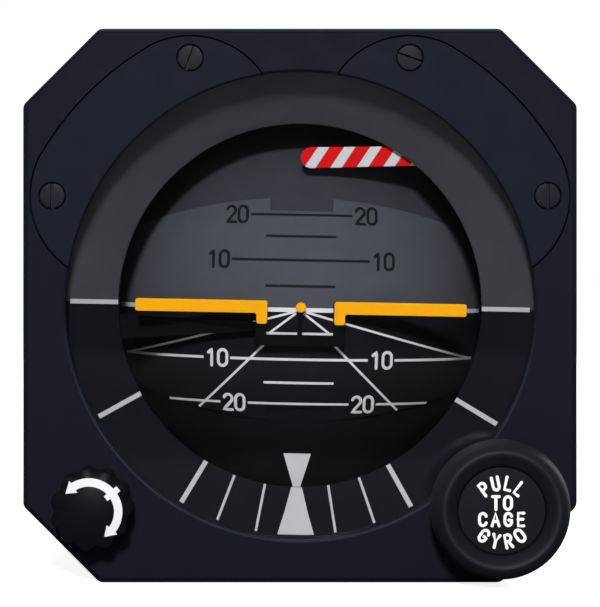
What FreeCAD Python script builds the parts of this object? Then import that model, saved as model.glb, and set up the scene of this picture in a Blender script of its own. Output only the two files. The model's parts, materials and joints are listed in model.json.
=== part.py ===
"""Panel-mounted standby attitude indicator, 3 1/4 inch square bezel.

Millimetres.  X is to the right seen from the front, Y runs aft along the roll axis and Z is up.
The origin is on the roll axis, in the plane of the bezel's rear face, which seats on the panel.
A gyro housing at the back turns in a roll gimbal.  Two racks on one rod inside the hollow roll
shaft carry its pitch to the ball at the front.
"""
import FreeCAD, Part
import math
import os
from FreeCAD import Vector

# Bezel, window and case
BEZEL_SIDE = 82.8
CORNER_CLIP = 12.0
BEZEL_DEPTH = 9.5
BEZEL_CORNER_R = 1.5
BEZEL_CHAMFER = 0.7
FRONT = -BEZEL_DEPTH
LIP = 2.0
WINDOW_R = 35.5
RECESS_R = 37.0
CASE_INSET = 1.1
CASE_WALL = 1.5
SLEEVE_SEAT = 0.8
CASE_LENGTH = 184.0
COVER_THICK = 2.0

# Front glass and dial ring
GLASS_R = 36.8
GLASS_THICK = 2.5
GASKET_THICK = 0.6
RING_R = 35.4
APERTURE_R = 28.05
RING_DROP = 7.4
RING_THICK = 1.0
SKIRT_THICK = 1.0

# Lamp covers: two lobes each, either side of the upper corners
LOBE_NEAR = 16.4
LOBE_FAR = 27.2
LOBE_R = 13.0
COVER_OUTER_R = 44.7
SCREW_OUT = 9.8
LAMP_COVER_THICK = 1.2
LAMP_COVER_GAP = 0.12
COVER_SCREW_R = 2.0
LAMP_R = 1.8
LAMP_AT = 27.5

# Dial plate behind the ring
PLATE_FRONT = 7.0
PLATE_THICK = 2.0
PLATE_BORE = 35.0

# Ball and its drive
REST_BANK = 1.1
REST_PITCH = 1.3
BALL_Y = 30.5
BALL_R = 31.0
BALL_SHELL = 1.2
BALL_HALF_WIDTH = 29.0
SCALE_RISE = 0.4
SCALE_TOP = 17.3
SCALE_ARC_R = 76.0
AXLE_R = 1.5
FIT = 0.05
MODULE = 0.4
BALL_TEETH = 20
GYRO_TEETH = 28
TRIM_TEETH = 16
BACKLASH = 0.06
RACK_ROD_R = 2.0

# Roll gimbal
YOKE_INSIDE = 33.2
YOKE_OUTSIDE = 35.5
YOKE_BACK = 76.5
YOKE_PLATE = 2.5
POINTER_Y = 7.5
POINTER_TIP_Z = -23.2
POINTER_FOOT_Z = -28.1
POINTER_STRIP_Z = -34.4
ROLL_SHAFT_R = 5.0
FRONT_BULKHEAD = 80.5
BULKHEAD_THICK = 3.5
GYRO_Y = 128.3
FRAME_FRONT = 85.5
FRAME_BACK = 156.7
FRAME_WALL = 2.5
FRAME_INSIDE = 26.5
FRAME_OUTSIDE = 29.5
REAR_BULKHEAD = 158.5
STUB_R = 3.0

# Gyro housing and rotor, both round the vertical spin axis
HOUSING_R = 19.0
HOUSING_HALF = 17.0
HOUSING_WALL = 2.0
ROTOR_R = 15.8
ROTOR_HALF = 9.0

# Rear bay
POST_AT = 30.0
BOARD_Y = 170.0
BOARD_THICK = 1.6
CONNECTOR_R = 9.0
CONNECTOR_BORE = 7.6
CONNECTOR_END = 200.0

# Knobs
ERECT_X = 29.4
ERECT_Z = -29.9
ERECT_KNOB_R = 10.1
ERECT_CAP_R = 6.4
ERECT_SHAFT_R = 2.0
ERECT_SHAFT_END = 19.0
SPRING_TURNS = 4
KNOB_GAP = 0.7
TRIM_X = -30.7
TRIM_Z = -29.9
TRIM_LOBES = 11
TRIM_KNOB_R = 6.1
TRIM_SHOULDER_R = 5.8
TRIM_VALLEY_R = 5.5
TRIM_SHAFT_R = 1.5

# Miniature aircraft, its bracket and slider
SYMBOL_Y = -3.2
SYMBOL_THICK = 0.5
SYMBOL_Z = -0.3
BAR_NEAR = 5.1
BAR_FAR = 25.2
BAR_HALF = 0.97
LEG_WIDTH = 1.65
LEG_END = -2.9
STRIP_END = -6.2
STRIP_WIDTH = 1.7
BRACKET_THICK = 0.6
ARM_Y = 4.2
SLIDER_Y = 4.8
SLIDER_LEFT = -35.4
SLIDER_RIGHT = -33.6

# Warning flag
FLAG_Y = 4.3
FLAG_THICK = 0.6
FLAG_TIP = (1.95, 22.4)
FLAG_PIVOT = (33.0, 21.5)
FLAG_HALF = 1.8

AXIS = Vector(0, 1, 0)


# ---- shape helpers -------------------------------------------------------------------------

def rod(radius, front, back, x=0.0, z=0.0):
    """Solid cylinder along Y from front to back."""
    return Part.makeCylinder(radius, back - front, Vector(x, front, z), AXIS)


def tube(outer, inner, front, back, x=0.0, z=0.0):
    """Hollow cylinder along Y."""
    return rod(outer, front, back, x, z).cut(rod(inner, front - 1, back + 1, x, z))


def cross_rod(radius, left, right, y, z=0.0):
    """Solid cylinder along X from left to right."""
    return Part.makeCylinder(radius, right - left, Vector(left, y, z), Vector(1, 0, 0))


def block(low, high):
    """Box between two opposite corners."""
    size = Vector(*high) - Vector(*low)
    return Part.makeBox(size.x, size.y, size.z, Vector(*low))


def polygon(points, sweep):
    """Closed polygon of 3-D points, extruded by the vector sweep."""
    corners = [Vector(*point) for point in points]
    wire = Part.makePolygon(corners + corners[:1])
    return Part.Face(wire).extrude(Vector(*sweep))


def plate(outline, front, back):
    """Outline of (x, z) points, extruded along Y."""
    return polygon([(x, front, z) for x, z in outline], (0, back - front, 0))


def side_plate(outline, left, right):
    """Outline of (y, z) points, extruded along X."""
    return polygon([(left, y, z) for y, z in outline], (right - left, 0, 0))


def flat_plate(outline, low, high):
    """Outline of (x, y) points, extruded along Z."""
    return polygon([(x, y, low) for x, y in outline], (0, 0, high - low))


def octagon(inset, front, back):
    """Square of the bezel's outline with clipped corners, drawn in by inset."""
    half = BEZEL_SIDE / 2 - inset
    edge = BEZEL_SIDE - CORNER_CLIP - inset * math.sqrt(2) - half
    outline = [(half, -edge), (half, edge), (edge, half), (-edge, half)]
    outline += [(-x, -z) for x, z in outline]
    return plate(outline, front, back)


def turned(edges, x=0.0, z=0.0):
    """Solid of revolution about the Y direction through (x, z).

    Each edge is a tuple of (radius, y) points: two for a line, three for an arc.
    """
    shapes = []
    for points in edges:
        ends = [Vector(x + radius, y, z) for radius, y in points]
        if len(ends) == 2:
            shapes.append(Part.LineSegment(*ends).toShape())
        else:
            shapes.append(Part.Arc(*ends).toShape())
    face = Part.Face(Part.Wire(shapes))
    return face.revolve(Vector(x, 0, z), AXIS, 360)


def dome_arc(radius, edge, top):
    """Three (radius, y) points on a sphere centred on the axis, from its edge to its top."""
    height = edge - top
    sphere_r = (radius ** 2 + height ** 2) / (2 * height)
    half_angle = math.asin(radius / sphere_r) / 2
    if height > sphere_r - 1e-9:
        half_angle = (math.pi - 2 * half_angle) / 2
    middle = (sphere_r * math.sin(half_angle), top + sphere_r * (1 - math.cos(half_angle)))
    return ((radius, edge), middle, (0, top))


def turned_outline(points, x=0.0, z=0.0):
    """Solid of revolution from a closed outline of straight (radius, y) stretches."""
    return turned(list(zip(points, points[1:] + points[:1])), x, z)


def capsule(start, start_r, end, end_r, front, back):
    """Two discs joined by their outer tangents, at (x, z) start and end."""
    reach = math.dist(start, end)
    along = math.atan2(end[1] - start[1], end[0] - start[0])
    lean = math.acos((start_r - end_r) / reach)
    corners = []
    for (x, z), radius, side in ((start, start_r, 1), (end, end_r, 1), (end, end_r, -1), (start, start_r, -1)):
        angle = along + side * lean
        corners.append((x + radius * math.cos(angle), z + radius * math.sin(angle)))
    body = plate(corners, front, back)
    body = body.fuse(rod(start_r, front, back, *start))
    return body.fuse(rod(end_r, front, back, *end)).removeSplitter()


def screw(x, z, face, head_r, head_thick, shank_r, length, slot_turn, aft=1):
    """Slotted screw on the Y direction; aft is +1 if it is driven towards +Y, else -1."""
    under = face + aft * head_thick
    tip = face + aft * length
    head = rod(head_r, min(face, under), max(face, under), x, z)
    shank = rod(shank_r, min(under, tip), max(under, tip), x, z)
    slot = block((-head_r, -0.45, -0.25), (head_r, 0.45, 0.25))
    slot.rotate(Vector(), AXIS, slot_turn)
    slot.translate(Vector(x, face, z))
    return head.fuse(shank).cut(slot).removeSplitter()


def tooth_sizes(radius):
    """(radius, half thickness) of a tooth at its root, pitch line and tip."""
    half = math.pi * MODULE / 4 - BACKLASH
    return [(radius - 1.25 * MODULE, half * 1.35), (radius, half), (radius + 0.85 * MODULE, half * 0.5)]


def gear(teeth, bore, tooth_angle, front, back):
    """Spur gear about the Y axis, with one tooth centred on tooth_angle, in degrees from +X to +Z."""
    sizes = tooth_sizes(teeth * MODULE / 2)
    outline = []
    for index in range(teeth):
        middle = math.radians(tooth_angle + 360.0 * index / teeth)
        for radius, half in [(r, -h) for r, h in sizes] + list(reversed(sizes)):
            angle = middle + half / radius
            outline.append((radius * math.cos(angle), radius * math.sin(angle)))
    blank = plate(outline, front, back)
    return blank.cut(rod(bore, front - 1, back + 1))


def rack_edge(length_teeth):
    """Toothed edge as (along, height) points, height 0 on the pitch line, tips pointing down."""
    half = math.pi * MODULE / 4 - BACKLASH
    tip = 0.85 * MODULE
    root = 1.25 * MODULE
    slope = math.tan(math.radians(20))
    points = []
    for index in range(-length_teeth, length_teeth):
        middle = (index + 0.5) * math.pi * MODULE
        points += [(middle - half - root * slope, root), (middle - half + tip * slope, -tip)]
        points += [(middle + half - tip * slope, -tip), (middle + half + root * slope, root)]
    return points


def banked(shape):
    """Turn a piece of the roll gimbal to its rest bank."""
    turned_piece = shape.copy()
    turned_piece.rotate(Vector(), AXIS, REST_BANK)
    return turned_piece


# ---- bezel, lamp covers and glass ------------------------------------------------------------

def lamp_cover_outline(side, spread, front, back):
    """Two lobes joined across an upper corner by an arc round the window, open to the window."""
    reach = 2 * COVER_OUTER_R / math.hypot(LOBE_NEAR, LOBE_FAR)
    near = (side * LOBE_NEAR, LOBE_FAR)
    far = (side * LOBE_FAR, LOBE_NEAR)
    wedge = plate([(0, 0), (near[0] * reach, near[1] * reach), (far[0] * reach, far[1] * reach)], front, back)
    shape = rod(COVER_OUTER_R + spread, front, back).common(wedge)
    shape = shape.fuse([rod(LOBE_R + spread, front, back, *near), rod(LOBE_R + spread, front, back, *far)])
    return shape.cut(rod(WINDOW_R, front - 1, back + 1)).removeSplitter()


def cover_screw_places():
    """(x, z) of the four lamp cover screws, left pair first."""
    places = []
    for side in (-1, 1):
        places.append((side * LOBE_NEAR, LOBE_FAR + SCREW_OUT))
        places.append((side * (LOBE_FAR + SCREW_OUT), LOBE_NEAR))
    return places


def sleeve_outline(front, back):
    """Solid of the case sleeve's rounded outside, from front to back."""
    body = octagon(CASE_INSET, front, back)
    upright = [e for e in body.Edges if abs(e.Length - (back - front)) < 1e-6]
    return body.makeFillet(BEZEL_CORNER_R, upright)


def make_bezel():
    """Front frame with clipped corners, lamp cover pockets, bushing holes and a rebate for the case.

    The rim left round the rebate at y = 0 is the face that seats on the panel.
    """
    body = octagon(0, FRONT, 0)
    upright = [e for e in body.Edges if abs(e.Length - BEZEL_DEPTH) < 1e-6]
    body = body.makeFillet(BEZEL_CORNER_R, upright)
    rim = [e for e in body.Edges if e.BoundBox.YMax < FRONT + 1e-6]
    body = body.makeChamfer(BEZEL_CHAMFER, rim)
    body = body.cut(rod(WINDOW_R, FRONT - 1, 1))
    body = body.cut(rod(RECESS_R, FRONT + LIP, 1))
    bevel = Part.makeCone(WINDOW_R + 0.5, WINDOW_R, 0.5, Vector(0, FRONT, 0), AXIS)
    body = body.cut(bevel)
    body = body.cut(sleeve_outline(-SLEEVE_SEAT, 2.0))
    for side in (-1, 1):
        pocket = lamp_cover_outline(side, LAMP_COVER_GAP, FRONT - 1, FRONT + LAMP_COVER_THICK)
        body = body.cut(pocket)
        body = body.cut(rod(LAMP_R + 0.3, FRONT, FRONT + 6.2, side * LAMP_AT, LAMP_AT))
    for x, z in cover_screw_places():
        body = body.cut(rod(1.0, FRONT, FRONT + 6.0, x, z))
    body = body.cut(rod(3.5, FRONT - 1, 1, ERECT_X, ERECT_Z))
    body = body.cut(rod(3.0, FRONT - 1, 1, TRIM_X, TRIM_Z))
    return body.removeSplitter()


def make_lamp_cover(side):
    """Flush cover over one dial lamp, with two countersunk screw holes."""
    body = lamp_cover_outline(side, 0, FRONT, FRONT + LAMP_COVER_THICK)
    for x, z in cover_screw_places():
        if x * side > 0:
            body = body.cut(rod(COVER_SCREW_R + 0.1, FRONT - 1, FRONT + 0.8, x, z))
            body = body.cut(rod(1.0, FRONT, FRONT + 2, x, z))
    return body.removeSplitter()


def make_lamp(side):
    """Dial lamp with a domed bulb, standing in its pocket beside the glass."""
    base = FRONT + 6.2
    edges = [
        ((0, base), (LAMP_R, base)),
        ((LAMP_R, base), (LAMP_R, base - 3.0)),
        dome_arc(LAMP_R, base - 3.0, base - 4.5),
        ((0, base - 4.5), (0, base)),
    ]
    return turned(edges, side * LAMP_AT, LAMP_AT)


def make_glass():
    """Flat front glass with ground edges."""
    front = FRONT + LIP
    body = rod(GLASS_R, front, front + GLASS_THICK)
    return body.makeChamfer(0.3, [e for e in body.Edges if e.Length > GLASS_R * 6 and e.BoundBox.YLength < 0.1])


def make_gasket():
    """Flat seal between the glass and the dial ring."""
    front = FRONT + LIP + GLASS_THICK
    return tube(GLASS_R, RING_R, front, front + GASKET_THICK)


def make_dial_ring():
    """Conical dial with a rolled inner lip and a skirt that stands on the dial plate."""
    front = FRONT + LIP + GLASS_THICK + GASKET_THICK
    lip_y = front + RING_DROP
    run = RING_R - APERTURE_R
    slope = math.atan2(lip_y - front, run)
    back_r = RING_THICK * math.sin(slope)
    back_y = RING_THICK * math.cos(slope)
    skirt = GLASS_R - SKIRT_THICK
    meet_y = front + back_y + (RING_R + back_r - skirt) * math.tan(slope)
    edges = [
        ((RING_R, front), (APERTURE_R + 0.15, lip_y - 0.1)),
        ((APERTURE_R + 0.15, lip_y - 0.1), (APERTURE_R, lip_y + 0.55), (APERTURE_R + back_r, lip_y + back_y)),
        ((APERTURE_R + back_r, lip_y + back_y), (skirt, meet_y)),
        ((skirt, meet_y), (skirt, PLATE_FRONT)),
        ((skirt, PLATE_FRONT), (GLASS_R, PLATE_FRONT)),
        ((GLASS_R, PLATE_FRONT), (GLASS_R, front)),
        ((GLASS_R, front), (RING_R, front)),
    ]
    body = turned(edges)
    cut_y = PLATE_FRONT - 3.9
    side_window = block((-40, cut_y, -30), (40, PLATE_FRONT + 1, 30))
    keep = rod(GLASS_R + 1, cut_y, PLATE_FRONT + 1).cut(rod(skirt - 0.5, 0, PLATE_FRONT + 2))
    return body.cut(side_window.common(keep)).removeSplitter()


def make_dial_plate():
    """Plate across the case that carries the dial ring, shafts, flag motor and slider guides."""
    back = PLATE_FRONT + PLATE_THICK
    body = octagon(CASE_INSET + CASE_WALL, PLATE_FRONT, back)
    body = body.cut(rod(PLATE_BORE, PLATE_FRONT - 1, back + 1))
    for low in (-17.5, 7.0):
        guide = block((SLIDER_LEFT - 2.0, PLATE_FRONT - 3.5, low), (SLIDER_RIGHT + 1.2, PLATE_FRONT, low + 4.0))
        way_low = (SLIDER_LEFT - FIT, SLIDER_Y - FIT, low - 1)
        way_high = (SLIDER_RIGHT + FIT, PLATE_FRONT - 0.1, low + 5)
        body = body.fuse(guide.cut(block(way_low, way_high)))
    body = body.cut(rod(ERECT_SHAFT_R + 0.4, PLATE_FRONT - 1, back + 1, ERECT_X, ERECT_Z))
    body = body.cut(rod(TRIM_SHAFT_R + FIT, PLATE_FRONT - 1, back + 1, TRIM_X, TRIM_Z))
    body = body.cut(rod(1.2, PLATE_FRONT - 1, back + 1, *FLAG_PIVOT))
    return body.removeSplitter()


# ---- case, bulkheads and rear bay --------------------------------------------------------------

def make_case_sleeve():
    """Drawn case from its rebate in the bezel to the rear cover."""
    outside = sleeve_outline(-SLEEVE_SEAT, CASE_LENGTH)
    inside = octagon(CASE_INSET + CASE_WALL, -SLEEVE_SEAT - 1, CASE_LENGTH + 1)
    return outside.cut(inside)


def corner_places():
    """(x, z) of the four rear posts."""
    return [(sx * POST_AT, sz * POST_AT) for sx in (-1, 1) for sz in (-1, 1)]


def make_rear_cover():
    """Flat rear cover with a bevelled rim and a hole for the connector."""
    back = CASE_LENGTH + COVER_THICK
    body = sleeve_outline(CASE_LENGTH, back)
    rim = [e for e in body.Edges if e.BoundBox.YMin > back - 1e-6]
    body = body.makeChamfer(0.6, rim)
    body = body.cut(rod(CONNECTOR_R + FIT, CASE_LENGTH - 1, back + 1))
    for x, z in corner_places():
        body = body.cut(rod(1.0, CASE_LENGTH - 1, back + 1, x, z))
    return body


def make_rear_screw(x, z):
    """Pan-head screw that holds the rear cover to a post."""
    face = CASE_LENGTH + COVER_THICK + 1.3
    return screw(x, z, face, 2.0, 1.3, 1.0, 11.0, 30 + x + z, aft=-1)


def make_front_bulkhead():
    """Web that carries the front roll bearing, with four lightening holes."""
    back = FRONT_BULKHEAD + BULKHEAD_THICK
    body = octagon(CASE_INSET + CASE_WALL, FRONT_BULKHEAD, back)
    body = body.cut(rod(8.0, FRONT_BULKHEAD - 1, back + 1))
    for turn in range(4):
        angle = math.radians(45 + 90 * turn)
        hole = rod(9.0, FRONT_BULKHEAD - 1, back + 1, 26 * math.cos(angle), 26 * math.sin(angle))
        body = body.cut(hole)
    return body


def make_rear_bulkhead():
    """Web that carries the rear roll bearing, with stepped posts for the board and rear cover."""
    back = REAR_BULKHEAD + BULKHEAD_THICK
    body = octagon(CASE_INSET + CASE_WALL, REAR_BULKHEAD, back)
    body = body.cut(rod(6.0, REAR_BULKHEAD - 1, back + 1))
    for x, z in corner_places():
        body = body.fuse(rod(3.0, back - 1, BOARD_Y, x, z))
        body = body.fuse(rod(2.2, BOARD_Y - 1, CASE_LENGTH, x, z))
        body = body.cut(rod(1.0, CASE_LENGTH - 10, CASE_LENGTH + 1, x, z))
    return body.removeSplitter()


def make_power_board():
    """Circuit board on the shoulders of the four posts."""
    back = BOARD_Y + BOARD_THICK
    body = octagon(CASE_INSET + CASE_WALL + 1.0, BOARD_Y, back)
    for x, z in corner_places():
        body = body.cut(rod(2.2, BOARD_Y - 1, back + 1, x, z))
    return body


def make_transformer():
    """Laminated core with a winding between its two windows."""
    base = BOARD_Y + BOARD_THICK
    core = block((-24, base, -10), (-2, base + 9, 10))
    for low in (-7.0, 1.5):
        core = core.cut(block((-21, base - 1, low), (-5, base + 10, low + 5.5)))
    winding = block((-20, base, -6.2), (-6, base + 10, 6.2))
    upright = [e for e in winding.Edges if e.BoundBox.YLength > 9]
    return core.fuse(winding.makeFillet(2.0, upright)).removeSplitter()


def make_brush_block():
    """Insulating block beside the slip rings, with three brush fingers."""
    base = REAR_BULKHEAD + BULKHEAD_THICK
    body = block((7.0, base, -5), (14.0, base + 6.0, 5))
    for index in range(3):
        y = base + 1.3 + 1.5 * index
        body = body.fuse(block((4.4, y - 0.2, -0.6), (7.0, y + 0.2, 0.6)))
    return body.removeSplitter()


def make_connector_shell():
    """Round receptacle with a square flange on the rear cover and a flared mouth."""
    seat = CASE_LENGTH + COVER_THICK
    body = rod(CONNECTOR_R, CASE_LENGTH - 1.5, CONNECTOR_END)
    flange = block((-12.5, seat, -12.5), (12.5, seat + 1.6, 12.5))
    upright = [e for e in flange.Edges if abs(e.Length - 1.6) < 1e-6]
    body = body.fuse(flange.makeFillet(2.5, upright))
    body = body.cut(rod(CONNECTOR_BORE, CASE_LENGTH - 3, CONNECTOR_END + 1))
    return body.removeSplitter()


def make_connector_insert():
    """Moulded contact insert with a ring of sockets round a centre one."""
    face = 191.0
    body = rod(CONNECTOR_BORE, CASE_LENGTH - 1.5, face)
    for x, z in [(0, 0)] + [(4.6 * math.cos(a), 4.6 * math.sin(a)) for a in (k * math.pi / 4 for k in range(8))]:
        body = body.cut(rod(0.8, face - 3, face + 1, x, z))
    return body


# ---- roll gimbal -------------------------------------------------------------------------------

def make_bearing(outer, bore, front):
    """Bearing ring with a groove on both faces between its races."""
    back = front + BULKHEAD_THICK
    middle = (outer + bore) / 2
    body = tube(outer, bore + FIT, front, back)
    for low, high in ((front - 1, front + 0.4), (back - 0.4, back + 1)):
        body = body.cut(tube(middle + 0.5, middle - 0.5, low, high))
    return body


def make_ball_yoke():
    """U-shaped yoke round the ball, with rounded arm ends and a lug for the bank pointer."""
    front = BALL_Y - 6.0
    back = YOKE_BACK + YOKE_PLATE
    outside = block((-YOKE_OUTSIDE, front, -8), (YOKE_OUTSIDE, back, 8))
    inside = block((-YOKE_INSIDE, front - 1, -9), (YOKE_INSIDE, YOKE_BACK, 9))
    body = outside.cut(inside)
    side = side_plate([(back, -8), (back, 8), (BALL_Y + 14, 8), (BALL_Y, 6), (BALL_Y, -6), (BALL_Y + 14, -8)],
                      -YOKE_OUTSIDE, YOKE_OUTSIDE)
    side = side.fuse(cross_rod(6.0, -YOKE_OUTSIDE, YOKE_OUTSIDE, BALL_Y))
    body = body.common(side)
    lug = plate([(-4, -7), (4, -7), (2.5, POINTER_STRIP_Z + 0.8), (-2.5, POINTER_STRIP_Z + 0.8)], YOKE_BACK, back)
    body = body.fuse(lug)
    for y in (BALL_Y + 14, BALL_Y + 24, BALL_Y + 34):
        body = body.cut(cross_rod(3.5, -40, 40, y))
    body = body.cut(cross_rod(AXLE_R + FIT, -40, 40, BALL_Y))
    body = body.cut(rod(RACK_ROD_R + FIT, YOKE_BACK - 1, back + 1))
    return body.removeSplitter()


def make_bank_pointer():
    """Tapered pointer blade in front of the ball, on a strip that runs back under the ball."""
    blade = plate([(-2.15, POINTER_TIP_Z), (2.15, POINTER_TIP_Z), (0.65, POINTER_FOOT_Z),
                   (0.65, POINTER_STRIP_Z), (-0.65, POINTER_STRIP_Z), (-0.65, POINTER_FOOT_Z)],
                  POINTER_Y, POINTER_Y + 0.7)
    back = YOKE_BACK + YOKE_PLATE
    strip = block((-2.0, POINTER_Y, POINTER_STRIP_Z), (2.0, back, POINTER_STRIP_Z + 0.8))
    return blade.fuse(strip).removeSplitter()


def make_roll_shaft():
    """Hollow flanged shaft in the front bearing."""
    front = YOKE_BACK + YOKE_PLATE
    body = rod(ROLL_SHAFT_R, front, FRAME_FRONT).fuse(rod(7.5, front, front + 1.0))
    return body.cut(rod(RACK_ROD_R + FIT, front - 1, FRAME_FRONT + 1)).removeSplitter()


def make_gyro_frame():
    """Rectangular gimbal frame with rounded corners and a rear stub shaft."""
    outside = block((-FRAME_OUTSIDE, FRAME_FRONT, -9), (FRAME_OUTSIDE, FRAME_BACK, 9))
    upright = [e for e in outside.Edges if e.BoundBox.ZLength > 17]
    outside = outside.makeFillet(4.0, upright)
    inside = block((-FRAME_INSIDE, FRAME_FRONT + FRAME_WALL, -10), (FRAME_INSIDE, FRAME_BACK - FRAME_WALL, 10))
    body = outside.cut(inside)
    for y in (GYRO_Y - 19, GYRO_Y + 19):
        body = body.cut(cross_rod(5.0, -40, 40, y))
    body = body.cut(cross_rod(AXLE_R + FIT, -40, 40, GYRO_Y))
    body = body.cut(rod(RACK_ROD_R + FIT, FRAME_FRONT - 1, FRAME_FRONT + FRAME_WALL + 1))
    return body.fuse(rod(STUB_R, FRAME_BACK - 0.5, 167.0)).removeSplitter()


def make_slip_rings():
    """Three raised rings on an insulating sleeve."""
    start = REAR_BULKHEAD + BULKHEAD_THICK + 0.4
    outline = [(STUB_R, start), (3.7, start)]
    for index in range(3):
        y = start + 0.5 + 1.5 * index
        outline += [(3.7, y), (4.0, y), (4.0, y + 0.8), (3.7, y + 0.8)]
    outline += [(3.7, start + 4.8), (STUB_R, start + 4.8)]
    return turned_outline(outline)


# ---- ball ----------------------------------------------------------------------------------------

def ball_form(radius, half_width):
    """Sphere with flat sides."""
    sphere = Part.makeSphere(radius, Vector(0, BALL_Y, 0))
    return sphere.common(block((-half_width, BALL_Y - 40, -40), (half_width, BALL_Y + 40, 40)))


def pitched(shape):
    """Turn a piece of the ball about its pitch axis to its rest pitch."""
    turned_piece = shape.copy()
    turned_piece.rotate(Vector(0, BALL_Y, 0), Vector(1, 0, 0), REST_PITCH)
    return turned_piece


def make_ball_half(side):
    """Upper (side 1) or lower (side -1) half of the hollow ball."""
    shell = ball_form(BALL_R, BALL_HALF_WIDTH)
    shell = shell.cut(ball_form(BALL_R - BALL_SHELL, BALL_HALF_WIDTH - BALL_SHELL))
    low, high = sorted((0, side * 40))
    shell = shell.common(block((-40, BALL_Y - 40, low), (40, BALL_Y + 40, high)))
    return pitched(shell.cut(cross_rod(AXLE_R, -40, 40, BALL_Y)))


def make_scale_plate():
    """Raised lens-shaped plate round the horizon that carries the pitch scale."""
    layer = ball_form(BALL_R + SCALE_RISE, BALL_HALF_WIDTH).cut(Part.makeSphere(BALL_R, Vector(0, BALL_Y, 0)))
    front = BALL_Y - 40
    middle = SCALE_TOP - SCALE_ARC_R
    lens = rod(SCALE_ARC_R, front, BALL_Y - 3, 0, middle).common(rod(SCALE_ARC_R, front, BALL_Y - 3, 0, -middle))
    for side in (-1, 1):
        low, high = sorted((side * (SCALE_TOP - 2.1), side * (SCALE_TOP + 1)))
        lens = lens.cut(block((-4.9, front - 1, low), (4.9, BALL_Y, high)))
    return pitched(layer.common(lens))


def make_ball_axle():
    """Pitch axle of the ball with its pinion."""
    axle = cross_rod(AXLE_R, -YOKE_OUTSIDE + 0.3, YOKE_OUTSIDE - 0.3, BALL_Y)
    pinion = gear(BALL_TEETH, AXLE_R, 90, 29.4, 31.2)
    pinion = on_cross_axis(pinion, BALL_Y)
    return axle.fuse(pinion).removeSplitter()


def on_cross_axis(shape, y):
    """Turn a piece made about the Y axis on to the X direction through (y, 0)."""
    placed = shape.copy()
    placed.rotate(Vector(), Vector(0, 0, 1), -90)
    placed.translate(Vector(0, y, 0))
    return placed


# ---- pitch rack ----------------------------------------------------------------------------------

RACK_FRONT = 68.2
RACK_REAR = 94.3
RACK_WEB = 2.0


def make_rack_rod():
    """Rod inside the hollow roll shaft."""
    return rod(RACK_ROD_R, RACK_FRONT, RACK_REAR + RACK_WEB)


def side_rack(side, mesh_y, pitch_r, web_y, left, right, back_z):
    """Toothed bar along Y on the given side (1 above, -1 below) of a gear at mesh_y."""
    teeth = [(mesh_y + along, side * (pitch_r + height)) for along, height in rack_edge(6)]
    near, far = sorted((teeth[0][0], web_y + RACK_WEB))
    end = max(teeth[-1][0], web_y + RACK_WEB)
    outline = [(near, side * back_z)] + teeth
    outline += [(end, side * (pitch_r + 1.25 * MODULE)), (end, side * back_z)]
    return side_plate(outline, left, right)


def make_ball_rack():
    """Cross-arm on the rod with a toothed bar over the ball's pinion."""
    radius = BALL_TEETH * MODULE / 2
    bar = side_rack(1, BALL_Y, radius, RACK_FRONT, 29.4, 31.2, 7.0)
    arm = plate([(-3.5, -2.6), (29.4, -2.0), (31.2, 0), (31.2, 7.0), (29.4, 7.0), (26, 2.6), (-3.5, 2.6)],
                RACK_FRONT, RACK_FRONT + RACK_WEB)
    arm = arm.cut(rod(RACK_ROD_R, RACK_FRONT - 1, RACK_FRONT + RACK_WEB + 1))
    return arm.fuse(bar).removeSplitter()


def make_gyro_rack():
    """Cross-arm on the rod with a toothed bar under the gyro's gear."""
    radius = GYRO_TEETH * MODULE / 2
    bar = side_rack(-1, GYRO_Y, radius, RACK_REAR, 23.2, 25.2, 8.6)
    front_bar = block((23.2, RACK_REAR, -8.6), (25.2, GYRO_Y - 7, -(radius + 1.25 * MODULE)))
    arm = plate([(-3.5, -2.6), (20, -3.0), (23.2, -8.6), (25.2, -8.6), (25.2, 2.0), (-3.5, 2.6)],
                RACK_REAR, RACK_REAR + RACK_WEB)
    arm = arm.cut(rod(RACK_ROD_R, RACK_REAR - 1, RACK_REAR + RACK_WEB + 1))
    return arm.fuse(bar).fuse(front_bar).removeSplitter()


# ---- gyro ----------------------------------------------------------------------------------------

def upright_turned(points):
    """Solid of revolution about the vertical spin axis from (radius, z) points."""
    shape = turned_outline(points)
    shape.rotate(Vector(), Vector(1, 0, 0), 90)
    shape.translate(Vector(0, GYRO_Y, 0))
    return shape


SPLIT_Z = 8.0


def make_gyro_housing():
    """Rotor cup with a bearing boss in its floor and a trunnion on each side."""
    inner = HOUSING_R - HOUSING_WALL
    floor = -HOUSING_HALF + HOUSING_WALL
    cup = upright_turned([
        (0, -HOUSING_HALF), (HOUSING_R - 2, -HOUSING_HALF), (HOUSING_R, -HOUSING_HALF + 2), (HOUSING_R, SPLIT_Z),
        (inner, SPLIT_Z), (inner, floor), (4.0, floor), (4.0, floor + 2.0), (AXLE_R + FIT, floor + 2.0),
        (AXLE_R + FIT, floor - 0.5), (0, floor - 0.5)])
    for side in (-1, 1):
        left, right = sorted((side * (HOUSING_R - 1.5), side * 22.6))
        cup = cup.fuse(cross_rod(4.0, left, right, GYRO_Y))
        left, right = sorted((side * (HOUSING_R - 1.5), side * (FRAME_OUTSIDE - 0.4)))
        cup = cup.fuse(cross_rod(AXLE_R, left, right, GYRO_Y))
    return cup.removeSplitter()


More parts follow.
